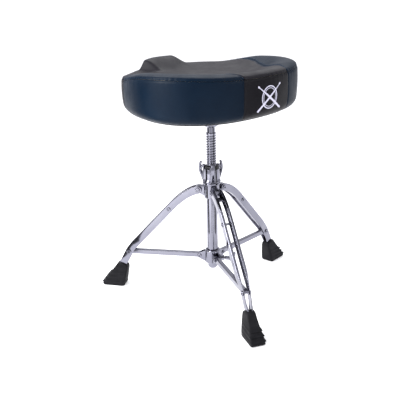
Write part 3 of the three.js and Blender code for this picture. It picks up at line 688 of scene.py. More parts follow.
# ------------------------------------------------------------------ braces and lower hub
def build_brace(name, degrees):
    inner, outer = Vector(BRACE_INNER), Vector(BRACE_OUTER)
    run = (outer - inner).normalized()
    path = [tuple(inner - run * BRACE_HALF_HEIGHT * math.cos(a)) for a in np.linspace(*NOSE_TURN)[:-1]]
    path += straight(tuple(inner), tuple(outer), 24)
    path += [tuple(outer + run * BRACE_HALF_HEIGHT * math.sin(a))
             for a in np.linspace(0, math.pi / 2 - NOSE_TURN[0], 9)]

    def section(k):
        point = Vector(path[k])
        beyond = max((inner - point).dot(run), (point - outer).dot(run), 0)
        half = math.sqrt(max(BRACE_HALF_HEIGHT ** 2 - beyond ** 2, 0.5))
        wall = min(1.6, 0.6 * half)
        side, inside = BRACE_HALF_WIDTH, 4.4
        corners = [(-half, -side), (half, -side), (half, side), (-half, side), (-half, inside),
                   (half - wall, inside), (half - wall, -inside), (-half, -inside)]
        return rounded(corners, [0.5, 1.8, 1.8, 0.5, 0.4, 0.8, 0.8, 0.4], 4)

    body = f"brace_{name}"
    piece(f"channel_{name}", [sweep(path, section, heading(degrees))], CHROME, body, [body], "chrome",
          smooth_angle=50)
    through_rivet(f"lower_rivet_{name}", f"{body}_rivet", degrees, BRACE_INNER, CHEEK_OUTER, 5.6, body)


def build_lower_hub():
    low, high = node_span("lower_hub")
    collar = rounded([(COLLAR_BORE, low), (18.4, low), (20, low + 2), (20, high - 2), (18.4, high),
                      (COLLAR_BORE, high)], [0.4, 1.2, 1.4, 1.4, 1.2, 0.4], 4)
    r, z = BRACE_INNER
    tip = [(r + CHEEK_ROUND * math.cos(a), z + CHEEK_ROUND * math.sin(a))
           for a in np.linspace(-math.pi / 3, math.pi / 3, 11)]
    cheek = [(15.6, low + 1), *tip, (15.6, high - 3)]
    shells = [lathe(collar, BASE, 96)]
    for degrees in LEGS.values():
        for side in ((CHEEK_INNER, CHEEK_OUTER), (-CHEEK_OUTER, -CHEEK_INNER)):
            shells.append(slab(cheek, *side, heading(degrees)))
    boss = rounded([(3.5, 15.6), (7.5, 15.6), (7.5, 31), (3.5, 31)], [0, 0.3, 1.2, 0.6], 4)
    shells.append(lathe(boss, outward(WING_BOLT_HEADING, WING_BOLT_Z), 48))
    piece("hub_lower", shells, CHROME, "lower_hub", ["lower_hub"], "chrome", bevel=[0] + [0.6] * 6 + [0])


def build_wing_bolt():
    matrix = outward(WING_BOLT_HEADING, WING_BOLT_Z)
    knob = rounded([(0, 16), (2.6, 16), (3.2, 17), (3.2, 33), (4.6, 33), (5.6, 35), (5.6, 47), (4, 50),
                    (0, 50.6)], [0, 0.3, 0.4, 0.4, 0.8, 1, 1.6, 1.6, 0], 4, closed=False)
    upper = curve_through([(38, 4.6), (44, 6), (49.5, 9), (53, 13), (56, 16.6), (59.2, 17.2), (61.4, 14.4),
                           (61, 10), (58, 5.6), (54.6, 2.6), (53, 1.2)], 4)
    blade = upper + [(r, -z) for r, z in reversed(upper)]
    wings = slab([(r, WING_BOLT_Z + z) for r, z in blade], -2.4, 2.4, heading(WING_BOLT_HEADING))
    piece("wing_screw", [lathe(knob, matrix, 48), wings], CHROME, "wing_bolt", ["wing_bolt"], "chrome",
          bevel=[0, 1.5], smooth_angle=50)


# ------------------------------------------------------------------ height screw
THREAD_PITCH, THREAD_DEPTH = 6.5, 1.5


def build_crown():
    low = node_span("crown_nut")[0]
    lip = 341
    sleeve = rounded([(17.3, low), (22.5, low), (24, low + 2.5), (22.5, low + 6), (20.6, low + 9),
                      (20.4, 330), (19.4, lip), (17.3, lip)], [0.4, 1, 1.4, 1.6, 2, 2, 1, 0.4], 4)
    shells = [lathe(sleeve, BASE, 96)]
    rail = curve_through([(20.4, 309), (22.6, 315), (26.4, 324), (30.2, 333), (31.6, 342), (30.6, 350),
                          (28, 357.6)], 7)
    hook = curve_through([(18.4, 346.5), (21.6, 347.4), (25, 345), (28, 340), (30.4, 335)], 7)
    web = curve_through([(19.6, 311), (20.6, 322), (20.2, 334), (19.2, 346), (18.9, 349.4)], 7)
    for k in range(3):
        turn = heading(CROWN_HEADING + 120 * k)
        shells += [sweep(rail, finger(rail, (3.8, 2.9), (7.2, 3.6)), turn),
                   sweep(hook, finger(hook, (2.8, 2.8), (5.0, 4.2)), turn),
                   sweep(web, finger(web, (2.2, 1.9), (9.0, 5.5)), turn)]
    piece("crown", shells, CHROME, "crown_nut", ["crown_nut"], "chrome", smooth_angle=60)
    bottom, top = node_span("nylon_insert")
    liner = rounded([(13, bottom), (17, bottom), (17, top - 3), (16, top), (13.8, top), (13, top - 2)],
                    [0.2, 0.2, 1.4, 1, 0.5, 0.8], 4)
    piece("nylon_liner", [lathe(liner, BASE, 72)], NYLON, "crown_nut", ["nylon_insert"], "nylon")


def boxy(x):
    """Pushes a circle's coordinate out towards a square's."""
    return math.copysign(abs(x) ** 0.7, x)


def finger(path, thick, side):
    """A round-ended oval section; thick and side are half sizes at the root and at the tip."""
    count = len(path) - 1
    start, end = Vector(path[0]), Vector(path[-1])
    turn = np.linspace(0, 2 * math.pi, 29)[:-1]
    oval = [(boxy(math.cos(a)), boxy(math.sin(a))) for a in turn]

    def section(k):
        share = k / count
        deep = thick[0] + (thick[1] - thick[0]) * share
        wide = side[0] + (side[1] - side[0]) * share
        near = min((Vector(path[k]) - start).length, (Vector(path[k]) - end).length)
        close = math.sqrt(max(1 - (1 - min(near / deep, 1)) ** 2, 0.04))
        return [(x * deep * close, y * wide * (0.4 + 0.6 * close)) for x, y in oval]

    return section


def thread_tree(pitch, depth, start, end):
    """Sinks a rounded screw thread into a bar about Z, between two heights."""
    tree = Tree("screw_thread", pitch=pitch, depth=depth, start=start, end=end, material=CHROME)
    given = tree.given
    place = tree.add("ShaderNodeSeparateXYZ", {0: tree.add("GeometryNodeInputPosition").outputs[0]}).outputs
    lead = tree.math("DIVIDE", tree.math("ARCTAN2", place["Y"], place["X"]), 2 * math.pi)
    phase = tree.math("SUBTRACT", tree.math("DIVIDE", place["Z"], given["pitch"]), lead)
    wave = tree.math("PINGPONG", phase, 0.5)
    groove = tree.range(wave, 0.10, 0.36, 1.0, 0.0, interpolation_type="SMOOTHSTEP")
    full_from = tree.math("ADD", given["start"], given["pitch"])
    full_to = tree.math("SUBTRACT", given["end"], given["pitch"])
    run_in = tree.range(place["Z"], given["start"], full_from)
    run_out = tree.range(place["Z"], full_to, given["end"], 1.0, 0.0)
    cut = tree.math("MULTIPLY", groove, tree.math("MULTIPLY", run_in, run_out))
    back = tree.math("MULTIPLY", tree.math("MULTIPLY", cut, given["depth"]), -1.0)
    flat = tree.add("ShaderNodeCombineXYZ", {"X": place["X"], "Y": place["Y"]})
    away = tree.add("ShaderNodeVectorMath", {0: flat.outputs[0]}, operation="NORMALIZE")
    offset = tree.add("ShaderNodeVectorMath", {0: away.outputs[0], "Scale": back}, operation="SCALE")
    wound = tree.add("GeometryNodeSetPosition", {"Geometry": given["Geometry"], "Offset": offset.outputs[0]})
    tree.end(wound.outputs[0])
    return tree


def build_rod():
    low, high = node_span("threaded_rod")
    thick, neck, shoulder = 12.7, 10.5, 434
    outline = [(0, low), (thick - 2, low), (thick, low + 2)]
    outline += [(thick, z) for z in np.arange(low + 2.6, shoulder - 1.5, 0.65)]
    outline += rounded([(thick, shoulder - 1.5), (neck, shoulder), (neck, high - 1), (neck - 1, high),
                        (0, high)], [0.3, 1, 0.8, 0.5, 0], 3, closed=False)
    points, faces = lathe(outline, Matrix.Scale(MM, 4), 72)
    rod = new_object("screw_rod", points, faces, CHROME)
    soften(rod.data, 40)
    thread_tree(THREAD_PITCH * MM, THREAD_DEPTH * MM, (low + 3) * MM, (shoulder - 3) * MM).grow(rod)
    rod.data.transform(Matrix.Translation(AXIS))
    shade(rod.data, 50)
    settle(rod, "rod", ["threaded_rod"], "chrome")


# ------------------------------------------------------------------ seat underside
def build_bracket():
    refined("seat_bracket", "seat_clamp", CHROME, "seat", "chrome", 0.9)
    refined("clamp_bolt", "clamp_screw", ZINC, "clamp_bolt", "zinc", 0.5)
    refined("clamp_nut", "clamp_hex_nut", ZINC, "seat", "zinc", 0.5)


def pan_screw():
    """One domed cross-recess screw about its own axis, head down."""
    dome = 3.4
    low = node_span("plate_screw_1")[0]
    under = low + dome
    head = rounded([(0, low), (dome, low), (5.6, under - 1.8), (5.8, under), (3, under),
                    (3, under + 18), (0, under + 18)], [0, 1.4, 1.2, 0.2, 0, 0.5, 0], 4, closed=False)
    points, faces = lathe(head, Matrix.Scale(MM, 4), 28)
    screw = new_object("screw_blank", points, faces, ZINC)
    soften(screw.data, 40)
    slot = [(-2.6, under - 4), (2.6, under - 4), (1.2, under - 1.8), (-1.2, under - 1.8)]
    for turn in (0, 90):
        spin = Matrix.Scale(MM, 4) @ Matrix.Rotation(math.radians(turn), 4, "Z")
        recess = new_object(f"recess_{turn}", *slab(slot, -0.5, 0.5, spin), ZINC)
        soften(recess.data, 30)
        bite = screw.modifiers.new("recess", "BOOLEAN")
        bite.operation = "DIFFERENCE"
        bite.solver = "EXACT"
        bite.object = recess
        carry_out(screw)
        bpy.data.objects.remove(recess)
    return screw


def copies_tree(name, original, material):
    """Stands a copy of one object on every vertex, turned by the mesh's own "turn" attribute."""
    tree = Tree(name, original=original, material=material)
    info = tree.add("GeometryNodeObjectInfo", {"Object": tree.given["original"]})
    turn = tree.add("GeometryNodeInputNamedAttribute", {"Name": "turn"}, data_type="FLOAT_VECTOR")
    copies = tree.add("GeometryNodeInstanceOnPoints", {"Points": tree.given["Geometry"],
                                                       "Instance": info.outputs["Geometry"],
                                                       "Rotation": turn.outputs["Attribute"]})
    tree.end(copies.outputs["Instances"])
    return tree


def scatter(name, original, spots, turns, material, body, nodes, slot):
    """Copies an object to the spots (frame metres) with Euler turns, as one plain mesh."""
    obj = new_object(name, spots, [], material)
    turn = obj.data.attributes.new("turn", "FLOAT_VECTOR", "POINT")
    turn.data.foreach_set("vector", np.array(turns, np.float32).ravel())
    copies_tree(f"{name}_copies", original, material).grow(obj)
    bpy.data.objects.remove(original)
    shade(obj.data, 45)
    settle(obj, body, nodes, slot)


def build_plate_screws():
    names = [f"plate_screw_{k}" for k in (1, 2, 3, 4)]
    spots = []
    for node in names:
        low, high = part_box(node)
        spots.append(Vector(((low.x + high.x) / 2, (low.y + high.y) / 2, 0)))
    turns = [(0, 0, math.radians(t)) for t in (12, 71, 38, 55)]
    scatter("plate_screws", pan_screw(), spots, turns, ZINC, "seat", names, "zinc")


# ------------------------------------------------------------------ seat shape
# In the seat's own plan, angles run from the back panel; u points there and v to its left.
OUTLINE = (208.9, -7.7, -11.6, -7.4, -2.2, 1.9)     # radius = sum of OUTLINE[k] * cos(k * angle)
DISH, RIM = 574, 584                                # heights of the top's middle and of its rim
SEAM_DROP = 11                                      # from the rim down to the boxing seam
RIDGE = 0.87                                        # where the rim crests, as a share of the radius
BOARD_BOTTOM, BOARD_TOP, SEAT_BOTTOM = 496, 508, 494
BLUE_EDGE = [(-150, 170), (-122, 173), (-67, 172), (11, 155), (78, 118), (163, 80), (205, 62)]
BACK_ANGLE, SIDE_ANGLE = 24, 120                    # where the blue boxings start and end
HEM_ROUND, HEM_TUCK = 26, 14
STAPLES, STAPLE_INSET = 40, 33
SEAT = heading(SEAT_HEADING)


def radius(a):
    return sum(c * math.cos(k * a) for k, c in enumerate(OUTLINE))


def plan(a, r, z):
    return SEAT @ Vector((r * math.cos(a), r * math.sin(a), z))


def bell(x, middle, width):
    return math.exp(-((x - middle) / width) ** 2)


def wing_rise(a):
    """The rim's extra height round the back, fullest at the sides."""
    degrees = math.degrees(math.acos(max(-1, min(1, math.cos(a)))))
    return (14 + 6 * bell(degrees, 70, 28)) * (1 - ease(90, 130, degrees))


def hump_rise(a):
    """The raised front, steeper on one flank."""
    across_front = radius(a) * RIDGE * math.sin(a)
    fall = ease(36, 90, across_front) if across_front > 0 else ease(52, 67, -across_front)
    return 0 if math.cos(a) > 0 else 23 * (1 - fall)


def corner_dent(a):
    """The worn front corner, where the padding has settled."""
    degrees = math.degrees(math.atan2(math.sin(a), math.cos(a)))
    return 10.5 * bell(degrees, -149, 15)


def seam_height(a):
    return RIM + wing_rise(a) - SEAM_DROP


def top_height(a, share):
    """The top's height at a share of the radius: a dish, then a rim that rolls over to the seam."""
    if share > RIDGE:
        over = (share - RIDGE) / (1 - RIDGE)
        roll = (SEAM_DROP - corner_dent(a)) * math.sqrt(max(0, 1 - over * over))
        return seam_height(a) + roll + hump_rise(a) * (1 - ease(0, 0.62, over))
    dish = DISH + (RIM - DISH) * ease(0.35, RIDGE, share)
    wing = (wing_rise(a) - corner_dent(a)) * ease(0.45, RIDGE, share)
    return dish + wing + hump_rise(a) * ease(0.58, RIDGE, share)


def blue_limit(u):
    """How far out (|v|) the blue top panels start, at a distance u towards the back."""
    for (u0, v0), (u1, v1) in zip(BLUE_EDGE, BLUE_EDGE[1:]):
        if u <= u1:
            t = max(0, (u - u0) / (u1 - u0))
            return v0 + (v1 - v0) * t
    return v1 - (u - u1) * 0.45


def round_steps(count):
    """Angles all the way round, without the last."""
    return [2 * math.pi * i / count for i in range(count)]


def flat_plate(name, inset, low, high, material, node, slot, bevel):
    """A flat sheet or board that follows the seat's outline."""
    rings = [[plan(a, radius(a) - inset, z) for a in round_steps(180)] for z in (low, high)]
    piece(name, [loft(rings)], material, "seat", [node], slot, bevel=bevel)


def build_seat_base():
    flat_plate("ply_board", 20, BOARD_BOTTOM, BOARD_TOP, PLYWOOD, "seat_board", "plywood", 0.8)
    low = node_span("dust_cover")[0]
    flat_plate("lining_cloth", 27, low, SEAT_BOTTOM - 0.1, LINING, "dust_cover", "lining", 0.3)
    staple = curve_through([(-5, 0.6), (-5, -0.5), (-4.4, -0.9), (4.4, -0.9), (5, -0.5), (5, 0.6)], 3)
    section = [(0.35 * math.cos(t), 0.6 * math.sin(t)) for t in np.linspace(0, 2 * math.pi, 9)[:-1]]
    points, faces = sweep(staple, lambda k: section, Matrix.Scale(MM, 4))
    wire = new_object("staple_blank", points, faces, ZINC)
    soften(wire.data, 60)
    spots, turns = [], []
    for i, a in enumerate(round_steps(STAPLES)):
        slope = (radius(a + 0.01) - radius(a - 0.01)) / 0.02
        spots.append(plan(a, radius(a) - STAPLE_INSET, low - 0.2))
        lean = 0.06 * math.sin(7.3 * i)
        along = math.radians(SEAT_HEADING) + a + math.pi / 2 + math.atan2(-slope, radius(a))
        turns.append((0, 0, along + lean))
    scatter("staples", wire, spots, turns, ZINC, "seat", [], "zinc")


# ------------------------------------------------------------------ foam
FOAM_INSET = 6                 # how far the pad is drawn inside the covers
FOAM_CAP = 3                   # how far the simulation may move any point
FOAM_CLEAR = 5                 # how near to the covers' outer face a point may end
SWELL_FRAMES = 20
PLAN_OF_SEAT = SEAT.inverted()


def foam_shell():
    shares = [0.12, 0.25, 0.4, 0.55, 0.68, 0.78, RIDGE, 0.93, 0.97, 1]
    rim = round_steps(120)
    rings = [[plan(a, (radius(a) - FOAM_INSET) * s, top_height(a, s) - FOAM_INSET) for a in rim]
             for s in shares]
    rings += [[plan(a, (radius(a) - FOAM_INSET) * s, BOARD_TOP + 0.5) for a in rim] for s in (1, 0.5, 0.1)]
    return loft(rings)


def kept_inside(point):
    """A foam point moved, if it must be, to lie under the cover."""
    u, v, z = PLAN_OF_SEAT @ Vector(point)
    a, r = math.atan2(v, u), math.hypot(u, v)
    far = radius(a)
    allowed = min(r, far - FOAM_CLEAR)
    near = (-0.03, 0, 0.03)
    ceiling = min(top_height(a + turn, min(allowed / far + step, 1)) for turn in near for step in near)
    draw_in = max(allowed, 1e-6) / max(r, 1e-6)
    return tuple(SEAT @ Vector((u * draw_in, v * draw_in, min(z, ceiling - FOAM_CLEAR))))


def swollen(foam):
    """Lets the pad swell as cloth under pressure, then holds it inside the covers."""
    before = np.array([v.co[:] for v in foam.data.vertices])
    cloth = foam.modifiers.new("swell", "CLOTH")
    cloth.settings.use_pressure = True
    cloth.settings.uniform_pressure_force = 4
    cloth.settings.effector_weights.gravity = 0
    cloth.point_cache.frame_start = 1
    cloth.point_cache.frame_end = SWELL_FRAMES
    for number in range(1, SWELL_FRAMES + 1):
        SCENE.frame_set(number)
    carry_out(foam)
    SCENE.frame_set(1)
    move = np.array([v.co[:] for v in foam.data.vertices]) - before
    length = np.linalg.norm(move, axis=1, keepdims=True)
    move *= np.minimum(1, FOAM_CAP * MM / np.maximum(length, 1e-9))
    after = before + move
    after[:, 2] = np.maximum(after[:, 2], (BOARD_TOP + 0.4) * MM)
    after = np.array([kept_inside(p) for p in after])
    foam.data.vertices.foreach_set("co", after.ravel())
    foam.data.update()


def build_foam():
    """The moulded pad, swollen a little under its cover."""
    foam = new_object("moulded_foam", *foam_shell(), FOAM)
    soften(foam.data, 60)
    voxels = foam.modifiers.new("voxels", "REMESH")
    voxels.mode = "VOXEL"
    voxels.voxel_size = 0.006
    carry_out(foam)
    swollen(foam)
    finer = foam.modifiers.new("finer", "SUBSURF")
    finer.levels = finer.render_levels = 1
    carry_out(foam)
    foam.data.materials.clear()
    foam.data.materials.append(FOAM)
    foam.data.shade_smooth()
    settle(foam, "seat", ["foam_pad"], "foam")


# ------------------------------------------------------------------ covers
COVER_THICKNESS = 2.2
SIDE_STEPS = 30
STITCHES = 84                  # in each row


def seam_share(a, side):
    """The share of the radius where the blue panel's inner edge crosses a ray, or 1."""
    low, high = 0.3, 1.0
    reach = radius(a)

    def outside(share):
        u, v = share * reach * math.cos(a), abs(share * reach * math.sin(a))
        return v > blue_limit(u)

    if math.sin(a) * side <= 0 or not outside(high):
        return 1.0
    for _ in range(24):
        middle = (low + high) / 2
        low, high = (low, middle) if outside(middle) else (middle, high)
    return high


def pucker(d, along, reach=9.0, size=0.32):
    """Small gathers that run off a sewn edge, d and along in millimetres."""
    wave = math.sin(along * 0.62) + 0.7 * math.sin(along * 0.37 + 1.3) + 0.4 * math.sin(along * 1.13)
    return size * wave * math.exp(-d / reach)


def valley(d, depth=2.1, width=2.3):
    """How far a panel turns down towards a seam at a distance d."""
    return depth * math.exp(-(d / width) ** 2)


def swell(a, share):
    """Slow, shallow unevenness of padding under its cover."""
    u, v = share * math.cos(a), share * math.sin(a)
    return 0.9 * math.sin(3.1 * u + 1.2) * math.sin(2.7 * v + 0.4) + 0.45 * math.sin(7.3 * u - 5.1 * v)


def cover_sheet(name, rows, material, node, slot):
    """A grid of points (outer face) made a cover with its own thickness."""
    n = len(rows[0])
    points = [p for row in rows for p in row]
    faces = [(k, k + 1, k + n + 1, k + n) for j in range(len(rows) - 1) for k in range(j * n, j * n + n - 1)]
    obj = new_object(name, points, faces, material)
    work = bmesh.new()
    work.from_mesh(obj.data)
    bmesh.ops.remove_doubles(work, verts=work.verts, dist=5e-6)
    bmesh.ops.dissolve_degenerate(work, edges=work.edges, dist=1e-6)
    bmesh.ops.recalc_face_normals(work, faces=work.faces)
    centre = SEAT @ Vector((0, 0, 540))
    facing = sum(f.normal.dot(f.calc_center_median() - centre) * f.calc_area() for f in work.faces)
    if facing < 0:
        bmesh.ops.reverse_faces(work, faces=work.faces)
    work.to_mesh(obj.data)
    work.free()
    wall = obj.modifiers.new("wall", "SOLIDIFY")
    wall.thickness = COVER_THICKNESS * MM
    wall.offset = -1
    carry_out(obj)
    shade(obj.data, 65)
    settle(obj, "seat", [node], slot)


def cover_point(a, share, seam_gaps):
    """A point of the finished top, turned down towards each seam (distances in millimetres)."""
    drop = sum(valley(d) - pucker(d, along) for d, along in seam_gaps)
    z = top_height(a, share) + swell(a, share) * (1 - ease(0.8, 1, share))
    lean = ease(RIDGE, 1, share)
    return plan(a, radius(a) * share - drop * lean, z - drop * (1 - lean))


def fan(count, tight_start=False, tight_end=True):
    """Shares from 0 to 1, closer together at seams."""
    t = np.linspace(0, 1, count)
    if tight_start and tight_end:
        return 0.5 - 0.5 * np.cos(math.pi * t)
    return np.sin(t * math.pi / 2) if tight_end else t


def build_saddle_cover():
    """The charcoal middle of the top, out to the blue panels or to the boxing."""
    angles = [*round_steps(360), 2 * math.pi]
    limits = [min(seam_share(a, 1), seam_share(a, -1)) for a in angles]
    rows = []
    for t in [0.002, *fan(64)[2:]]:
        row = []
        for a, limit in zip(angles, limits):
            share = t * limit
            row.append(cover_point(a, share, [((limit - share) * radius(a), a * radius(a))]))
        rows.append(row)
    cover_sheet("saddle_cover", rows, CHARCOAL_LIT_TOP, "top_cover_centre", "charcoal_vinyl")
    return angles, limits


def build_wing_cover(word, side, first, last):
    """A blue top panel, between its seam with the saddle cover and the boxing."""
    rows = []
    for t in fan(30, True, True):
        row = []
        for a in np.linspace(first, last, 260):
            start = seam_share(a, side) + 0.5 / radius(a)
            share = start + (1 - start) * t
            near = (share - start) * radius(a)
            far = (1 - share) * radius(a)
            row.append(cover_point(a, share, [(near, a * radius(a)), (far, a * radius(a) + 4)]))
        rows.append(row)
    cover_sheet(f"wing_cover_{word}", rows, BLUE, f"top_cover_{word}", "blue_vinyl")


def build_top():
    angles, limits = build_saddle_cover()
    for word, side in (("left", 1), ("right", -1)):
        ends = [a for a, limit in zip(angles, limits)
                if math.sin(a) * side > 0 and (1 - limit) * radius(a) > 1.2]
        build_wing_cover(word, side, min(ends), max(ends))


def hem_profile(a):
    """The boxing's tucked hem and rounded lower edge as [radius, height]."""
    start = radius(a) - HEM_ROUND
    hem = [(start - HEM_TUCK + HEM_TUCK * t, SEAT_BOTTOM) for t in np.linspace(0, 1, 5)[:-1]]
    turn = [(start + HEM_ROUND * math.sin(t), SEAT_BOTTOM + HEM_ROUND * (1 - math.cos(t)))
            for t in np.linspace(0, math.pi / 2, 11)[:-1]]
    return hem + turn


def wall_profile(a):
    """The boxing's outer face as [radius, height], from the rounded edge up to the seam."""
    full, seam = radius(a), seam_height(a) - 0.6
    wall = []
    for t in fan(SIDE_STEPS):
        z = SEAT_BOTTOM + HEM_ROUND + (seam - SEAT_BOTTOM - HEM_ROUND) * t
        belly = 1.5 * math.sin(math.pi * t) ** 0.8 if 0 < t < 1 else 0
        d = seam - z
        wall.append((full + belly - valley(d) + pucker(d, a * full), z))
    return wall


def build_boxing():
    back, side = math.radians(BACK_ANGLE), math.radians(SIDE_ANGLE)
    runs = (("left", "blue_vinyl", BLUE, back, side), ("right", "blue_vinyl", BLUE, -side, -back),
            ("back", "charcoal_vinyl", CHARCOAL, -back, back),
            ("front", "charcoal_vinyl", CHARCOAL, side, 2 * math.pi - side))
    mean = 200
    for word, slot, material, first, last in runs:
        steps = max(60, int((last - first) * mean / 3.2))
        gap = 0.15 / mean
        rows = []
        for a in first + (last - first) * fan(steps, True, True):
            a = min(max(a, first + gap), last - gap)
            edge = min(a - first, last - a) * radius(a)
            pull = valley(edge, 1.1, 2.4)
            rows.append([plan(a, r - (pull - pucker(edge, z, 7, 0.2)) * ease(495, 512, z), z)
                         for r, z in hem_profile(a) + wall_profile(a)])
        cover_sheet(f"side_cover_{word}", rows, material, f"boxing_{word}", slot)


def stitch_blank():
    """One thread stitch lying along X, its ends dipping into the vinyl."""
    path = [(-1.7, -0.35), (-1.45, 0.05), (-0.8, 0.28), (0, 0.34), (0.8, 0.28), (1.45, 0.05), (1.7, -0.35)]
    ring = np.linspace(0, 2 * math.pi, 7)[:-1]
    section = [(0.3 * math.cos(t), 0.38 * math.sin(t)) for t in ring]
    obj = new_object("stitch_blank", *sweep(path, lambda k: section, Matrix.Scale(MM, 4)), BLUE_THREAD)
    soften(obj.data, 80)
    return obj


def seam_run(place, normal_at, count):
    """Spots and turns of stitches along place(t), t from 0 to 1."""
    spots, turns = [], []
    for i in range(count):
        t = (i + 0.5) / count
        here, ahead = place(t), place(min(t + 0.3 / count, 1))
        run = (ahead - here).normalized()
        side = normal_at(t).cross(run).normalized()
        spots.append(here)
        turns.append(tuple(Matrix((run, side, run.cross(side))).transposed().to_euler()))
    return spots, turns


def stitch_line(side, first, last, shift):
    """A row of stitches beside one wing seam; shift is its distance from the seam, towards the edge."""
    def angle(t):
        return side * (first + (last - first) * t)

    def place(t):
        a = angle(t)
        share = seam_share(a, side) + shift / radius(a)
        return cover_point(a, min(share, 0.995), [(abs(shift), a * radius(a))])

    def normal(t):
        a = angle(t)
        share = min(seam_share(a, side) + shift / radius(a), 0.99)
        here = plan(a, radius(a) * share, top_height(a, share))
        beside = plan(a + 0.01, radius(a + 0.01) * share, top_height(a + 0.01, share))
        inner = plan(a, radius(a) * (share - 0.01), top_height(a, share - 0.01))
        up = (here - inner).cross(beside - here).normalized()
        return up if up.z > 0 else -up

    return seam_run(place, normal, STITCHES)


def build_stitches():
    spots, turns = [], []
    for side in (1, -1):
        inside = [a for a in np.linspace(0.02, math.pi - 0.02, 500)
                  if (1 - seam_share(side * a, side)) * radius(a) > 4]
        for shift in (-3.6, 4.0):
            row_spots, row_turns = stitch_line(side, min(inside), max(inside), shift)
            spots += row_spots
            turns += row_turns
    scatter("topstitching", stitch_blank(), spots, turns, BLUE_THREAD, "seat", [], "blue_vinyl")


# ------------------------------------------------------------------ badge
BADGE_Z = 541
BADGE_RINGS = ((25, 1.2), (20.5, 0.6))              # radius and half width of each ring


def on_back_panel(x, z, lift):
    """A point at a distance x along the back panel, lifted off its face."""
    a = x / radius(0)
    radii, heights = zip(*wall_profile(a))
    return plan(a, float(np.interp(z, heights, radii)) + lift, z)


def ribbon(path, width):
    """A thin raised line on the back panel; width(k) is half the line's width."""
    rings = []
    for k, (x, z) in enumerate(path):
        before, after = Vector(path[max(k - 1, 0)]), Vector(path[min(k + 1, len(path) - 1)])
        run = (after - before).normalized()
        w = width(k)
        left = (x - run.y * w, z + run.x * w)
        right = (x + run.y * w, z - run.x * w)
        rings.append([on_back_panel(*left, lift) for lift in (-0.6, 0.25, 0.45)]
                     + [on_back_panel(*right, lift) for lift in (0.45, 0.25, -0.6)])
    return loft(rings)


def build_badge():
    """A plain printed mark: two crossed drumsticks over a ring."""
    shells = []
    for reach, half in BADGE_RINGS:
        turn = np.linspace(0, 2 * math.pi, 73)
        circle = [(reach * math.cos(t), BADGE_Z + reach * math.sin(t)) for t in turn]
        shells.append(ribbon(circle, lambda k, half=half: half))
    for side in (1, -1):
        start, end = Vector((side * 40, BADGE_Z - 29)), Vector((-side * 39, BADGE_Z + 28))
        path = [tuple(start.lerp(end, t)) for t in np.linspace(0, 1, 49)]

        def width(k):
            share = k / 48
            bead = 2.3 * math.sqrt(max(0, 1 - ((share - 0.965) / 0.034) ** 2))
            shaft = 2.3 - 1.3 * ease(0.5, 0.92, share)
            butt = math.sqrt(max(0.05, 1 - (1 - min(share / 0.02, 1)) ** 2))
            return max(bead, shaft * butt) if share < 0.985 else max(bead, 0.3)

        shells.append(ribbon(path, width))
    piece("crossed_sticks_badge", shells, PRINT, "seat", [], "charcoal_vinyl", smooth_angle=50)


# ------------------------------------------------------------------ studio
# Lengths in metres and angles in degrees.
CAMERA_FROM_AXIS = (-0.5235, -1.4908, 0.801)
CAMERA_HEADING, CAMERA_DOWN, CAMERA_ROLL = 72.0, 19.01, -1.29
LENS, LENS_SHIFT = 58.59, 0.0065
AIM = (0, 0, 0.3)
CARD_DISTANCE, CARD_HEIGHT = 0.36, 0.9
WORLD_STRENGTH = 0.85
FLOOR_REACH, FLOOR_GLOW = 60, 0.36


def look_from(spot, azimuth, pitch, roll):
    """A camera's place and turn; pitch counts downwards."""
    a, p, t = (math.radians(x) for x in (azimuth, pitch, roll))
    ahead = Vector((math.cos(a) * math.cos(p), math.sin(a) * math.cos(p), -math.sin(p)))
    right = Vector((math.sin(a), -math.cos(a), 0))
    up = right.cross(ahead)
    x = right * math.cos(t) + up * math.sin(t)
    y = up * math.cos(t) - right * math.sin(t)
    turn = Matrix((x, y, -ahead)).transposed().to_4x4()
    return Matrix.Translation(spot) @ turn


def build_camera():
    data = bpy.data.cameras.new("camera")
    data.sensor_width = 36
    data.lens = LENS
    data.shift_x = LENS_SHIFT
    camera = placed("camera", data)
    spot = AXIS + Vector(CAMERA_FROM_AXIS)
    camera.matrix_world = look_from(spot, CAMERA_HEADING, CAMERA_DOWN, CAMERA_ROLL)
    SCENE.camera = camera


def facing_throne(azimuth, elevation, distance):
    """A place round the throne, turned so that its own Z points away from it."""
    a, e = math.radians(azimuth), math.radians(elevation)
    away = Vector((math.cos(a) * math.cos(e), math.sin(a) * math.cos(e), math.sin(e)))
    spot = AXIS + Vector(AIM) + away * distance
    return Matrix.Translation(spot) @ away.to_track_quat("Z", "Y").to_matrix().to_4x4()


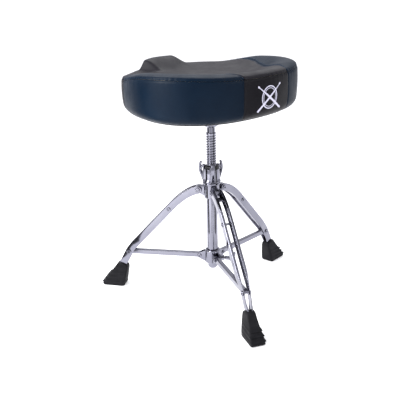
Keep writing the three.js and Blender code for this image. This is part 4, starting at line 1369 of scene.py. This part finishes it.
def softbox(name, azimuth, elevation, distance, width, height, power):
    data = bpy.data.lights.new(name, "AREA")
    data.shape = "RECTANGLE"
    data.size, data.size_y = width, height
    data.energy = power
    lamp = placed(name, data)
    lamp.matrix_world = facing_throne(azimuth, elevation, distance)
    lamp.visible_camera = False


def card(name, azimuth, width, grey):
    """A flat card that only reflections see."""
    turn = facing_throne(azimuth, 0, CARD_DISTANCE)
    corners = [turn @ Vector((x * width / 2, y * CARD_HEIGHT / 2, 0))
               for x, y in ((-1, -1), (1, -1), (1, 1), (-1, 1))]
    obj = new_object(name, corners, [(0, 1, 2, 3)], Paint(name, (grey, grey, grey), 0.9).material)
    obj.visible_camera = False
    obj.visible_shadow = False
    obj.visible_diffuse = False


def build_studio():
    world = bpy.data.worlds.new("studio")
    world.use_nodes = True
    backdrop = world.node_tree.nodes["Background"]
    backdrop.inputs["Color"].default_value = (0.95, 0.95, 1.0, 1)
    backdrop.inputs["Strength"].default_value = WORLD_STRENGTH
    SCENE.world = world
    paint = Paint("pale_floor", (0.9, 0.9, 0.91), 0.8, Emission_Color=(1, 1, 1, 1),
                  Emission_Strength=FLOOR_GLOW)
    far = FLOOR_REACH
    floor = new_object("floor", [(-far, -far, 0), (far, -far, 0), (far, far, 0), (-far, far, 0)],
                       [(0, 1, 2, 3)], paint.material)
    softbox("key", 188, 30, 2.4, 1.4, 1.9, 100)
    softbox("fill", 318, 30, 3.0, 1.0, 1.6, 18)
    softbox("top", 78, 58, 2.4, 2.0, 1.4, 30)
    card("dark_right", 316, 0.20, 0.06)
    card("dark_left", 176, 0.20, 0.04)
    card("dark_front", 243, 0.035, 0.22)
    SCENE.view_settings.view_transform = "Standard"


# ------------------------------------------------------------------ the throne
build_camera()
build_studio()
build_column()
build_upper_hub()
build_lower_hub()
build_wing_bolt()
build_crown()
build_rod()
for leg, leg_heading in LEGS.items():
    build_leg(leg, leg_heading)
    build_brace(leg, leg_heading)
build_bracket()
build_plate_screws()
build_seat_base()
build_foam()
build_top()
build_boxing()
build_stitches()
build_badge()
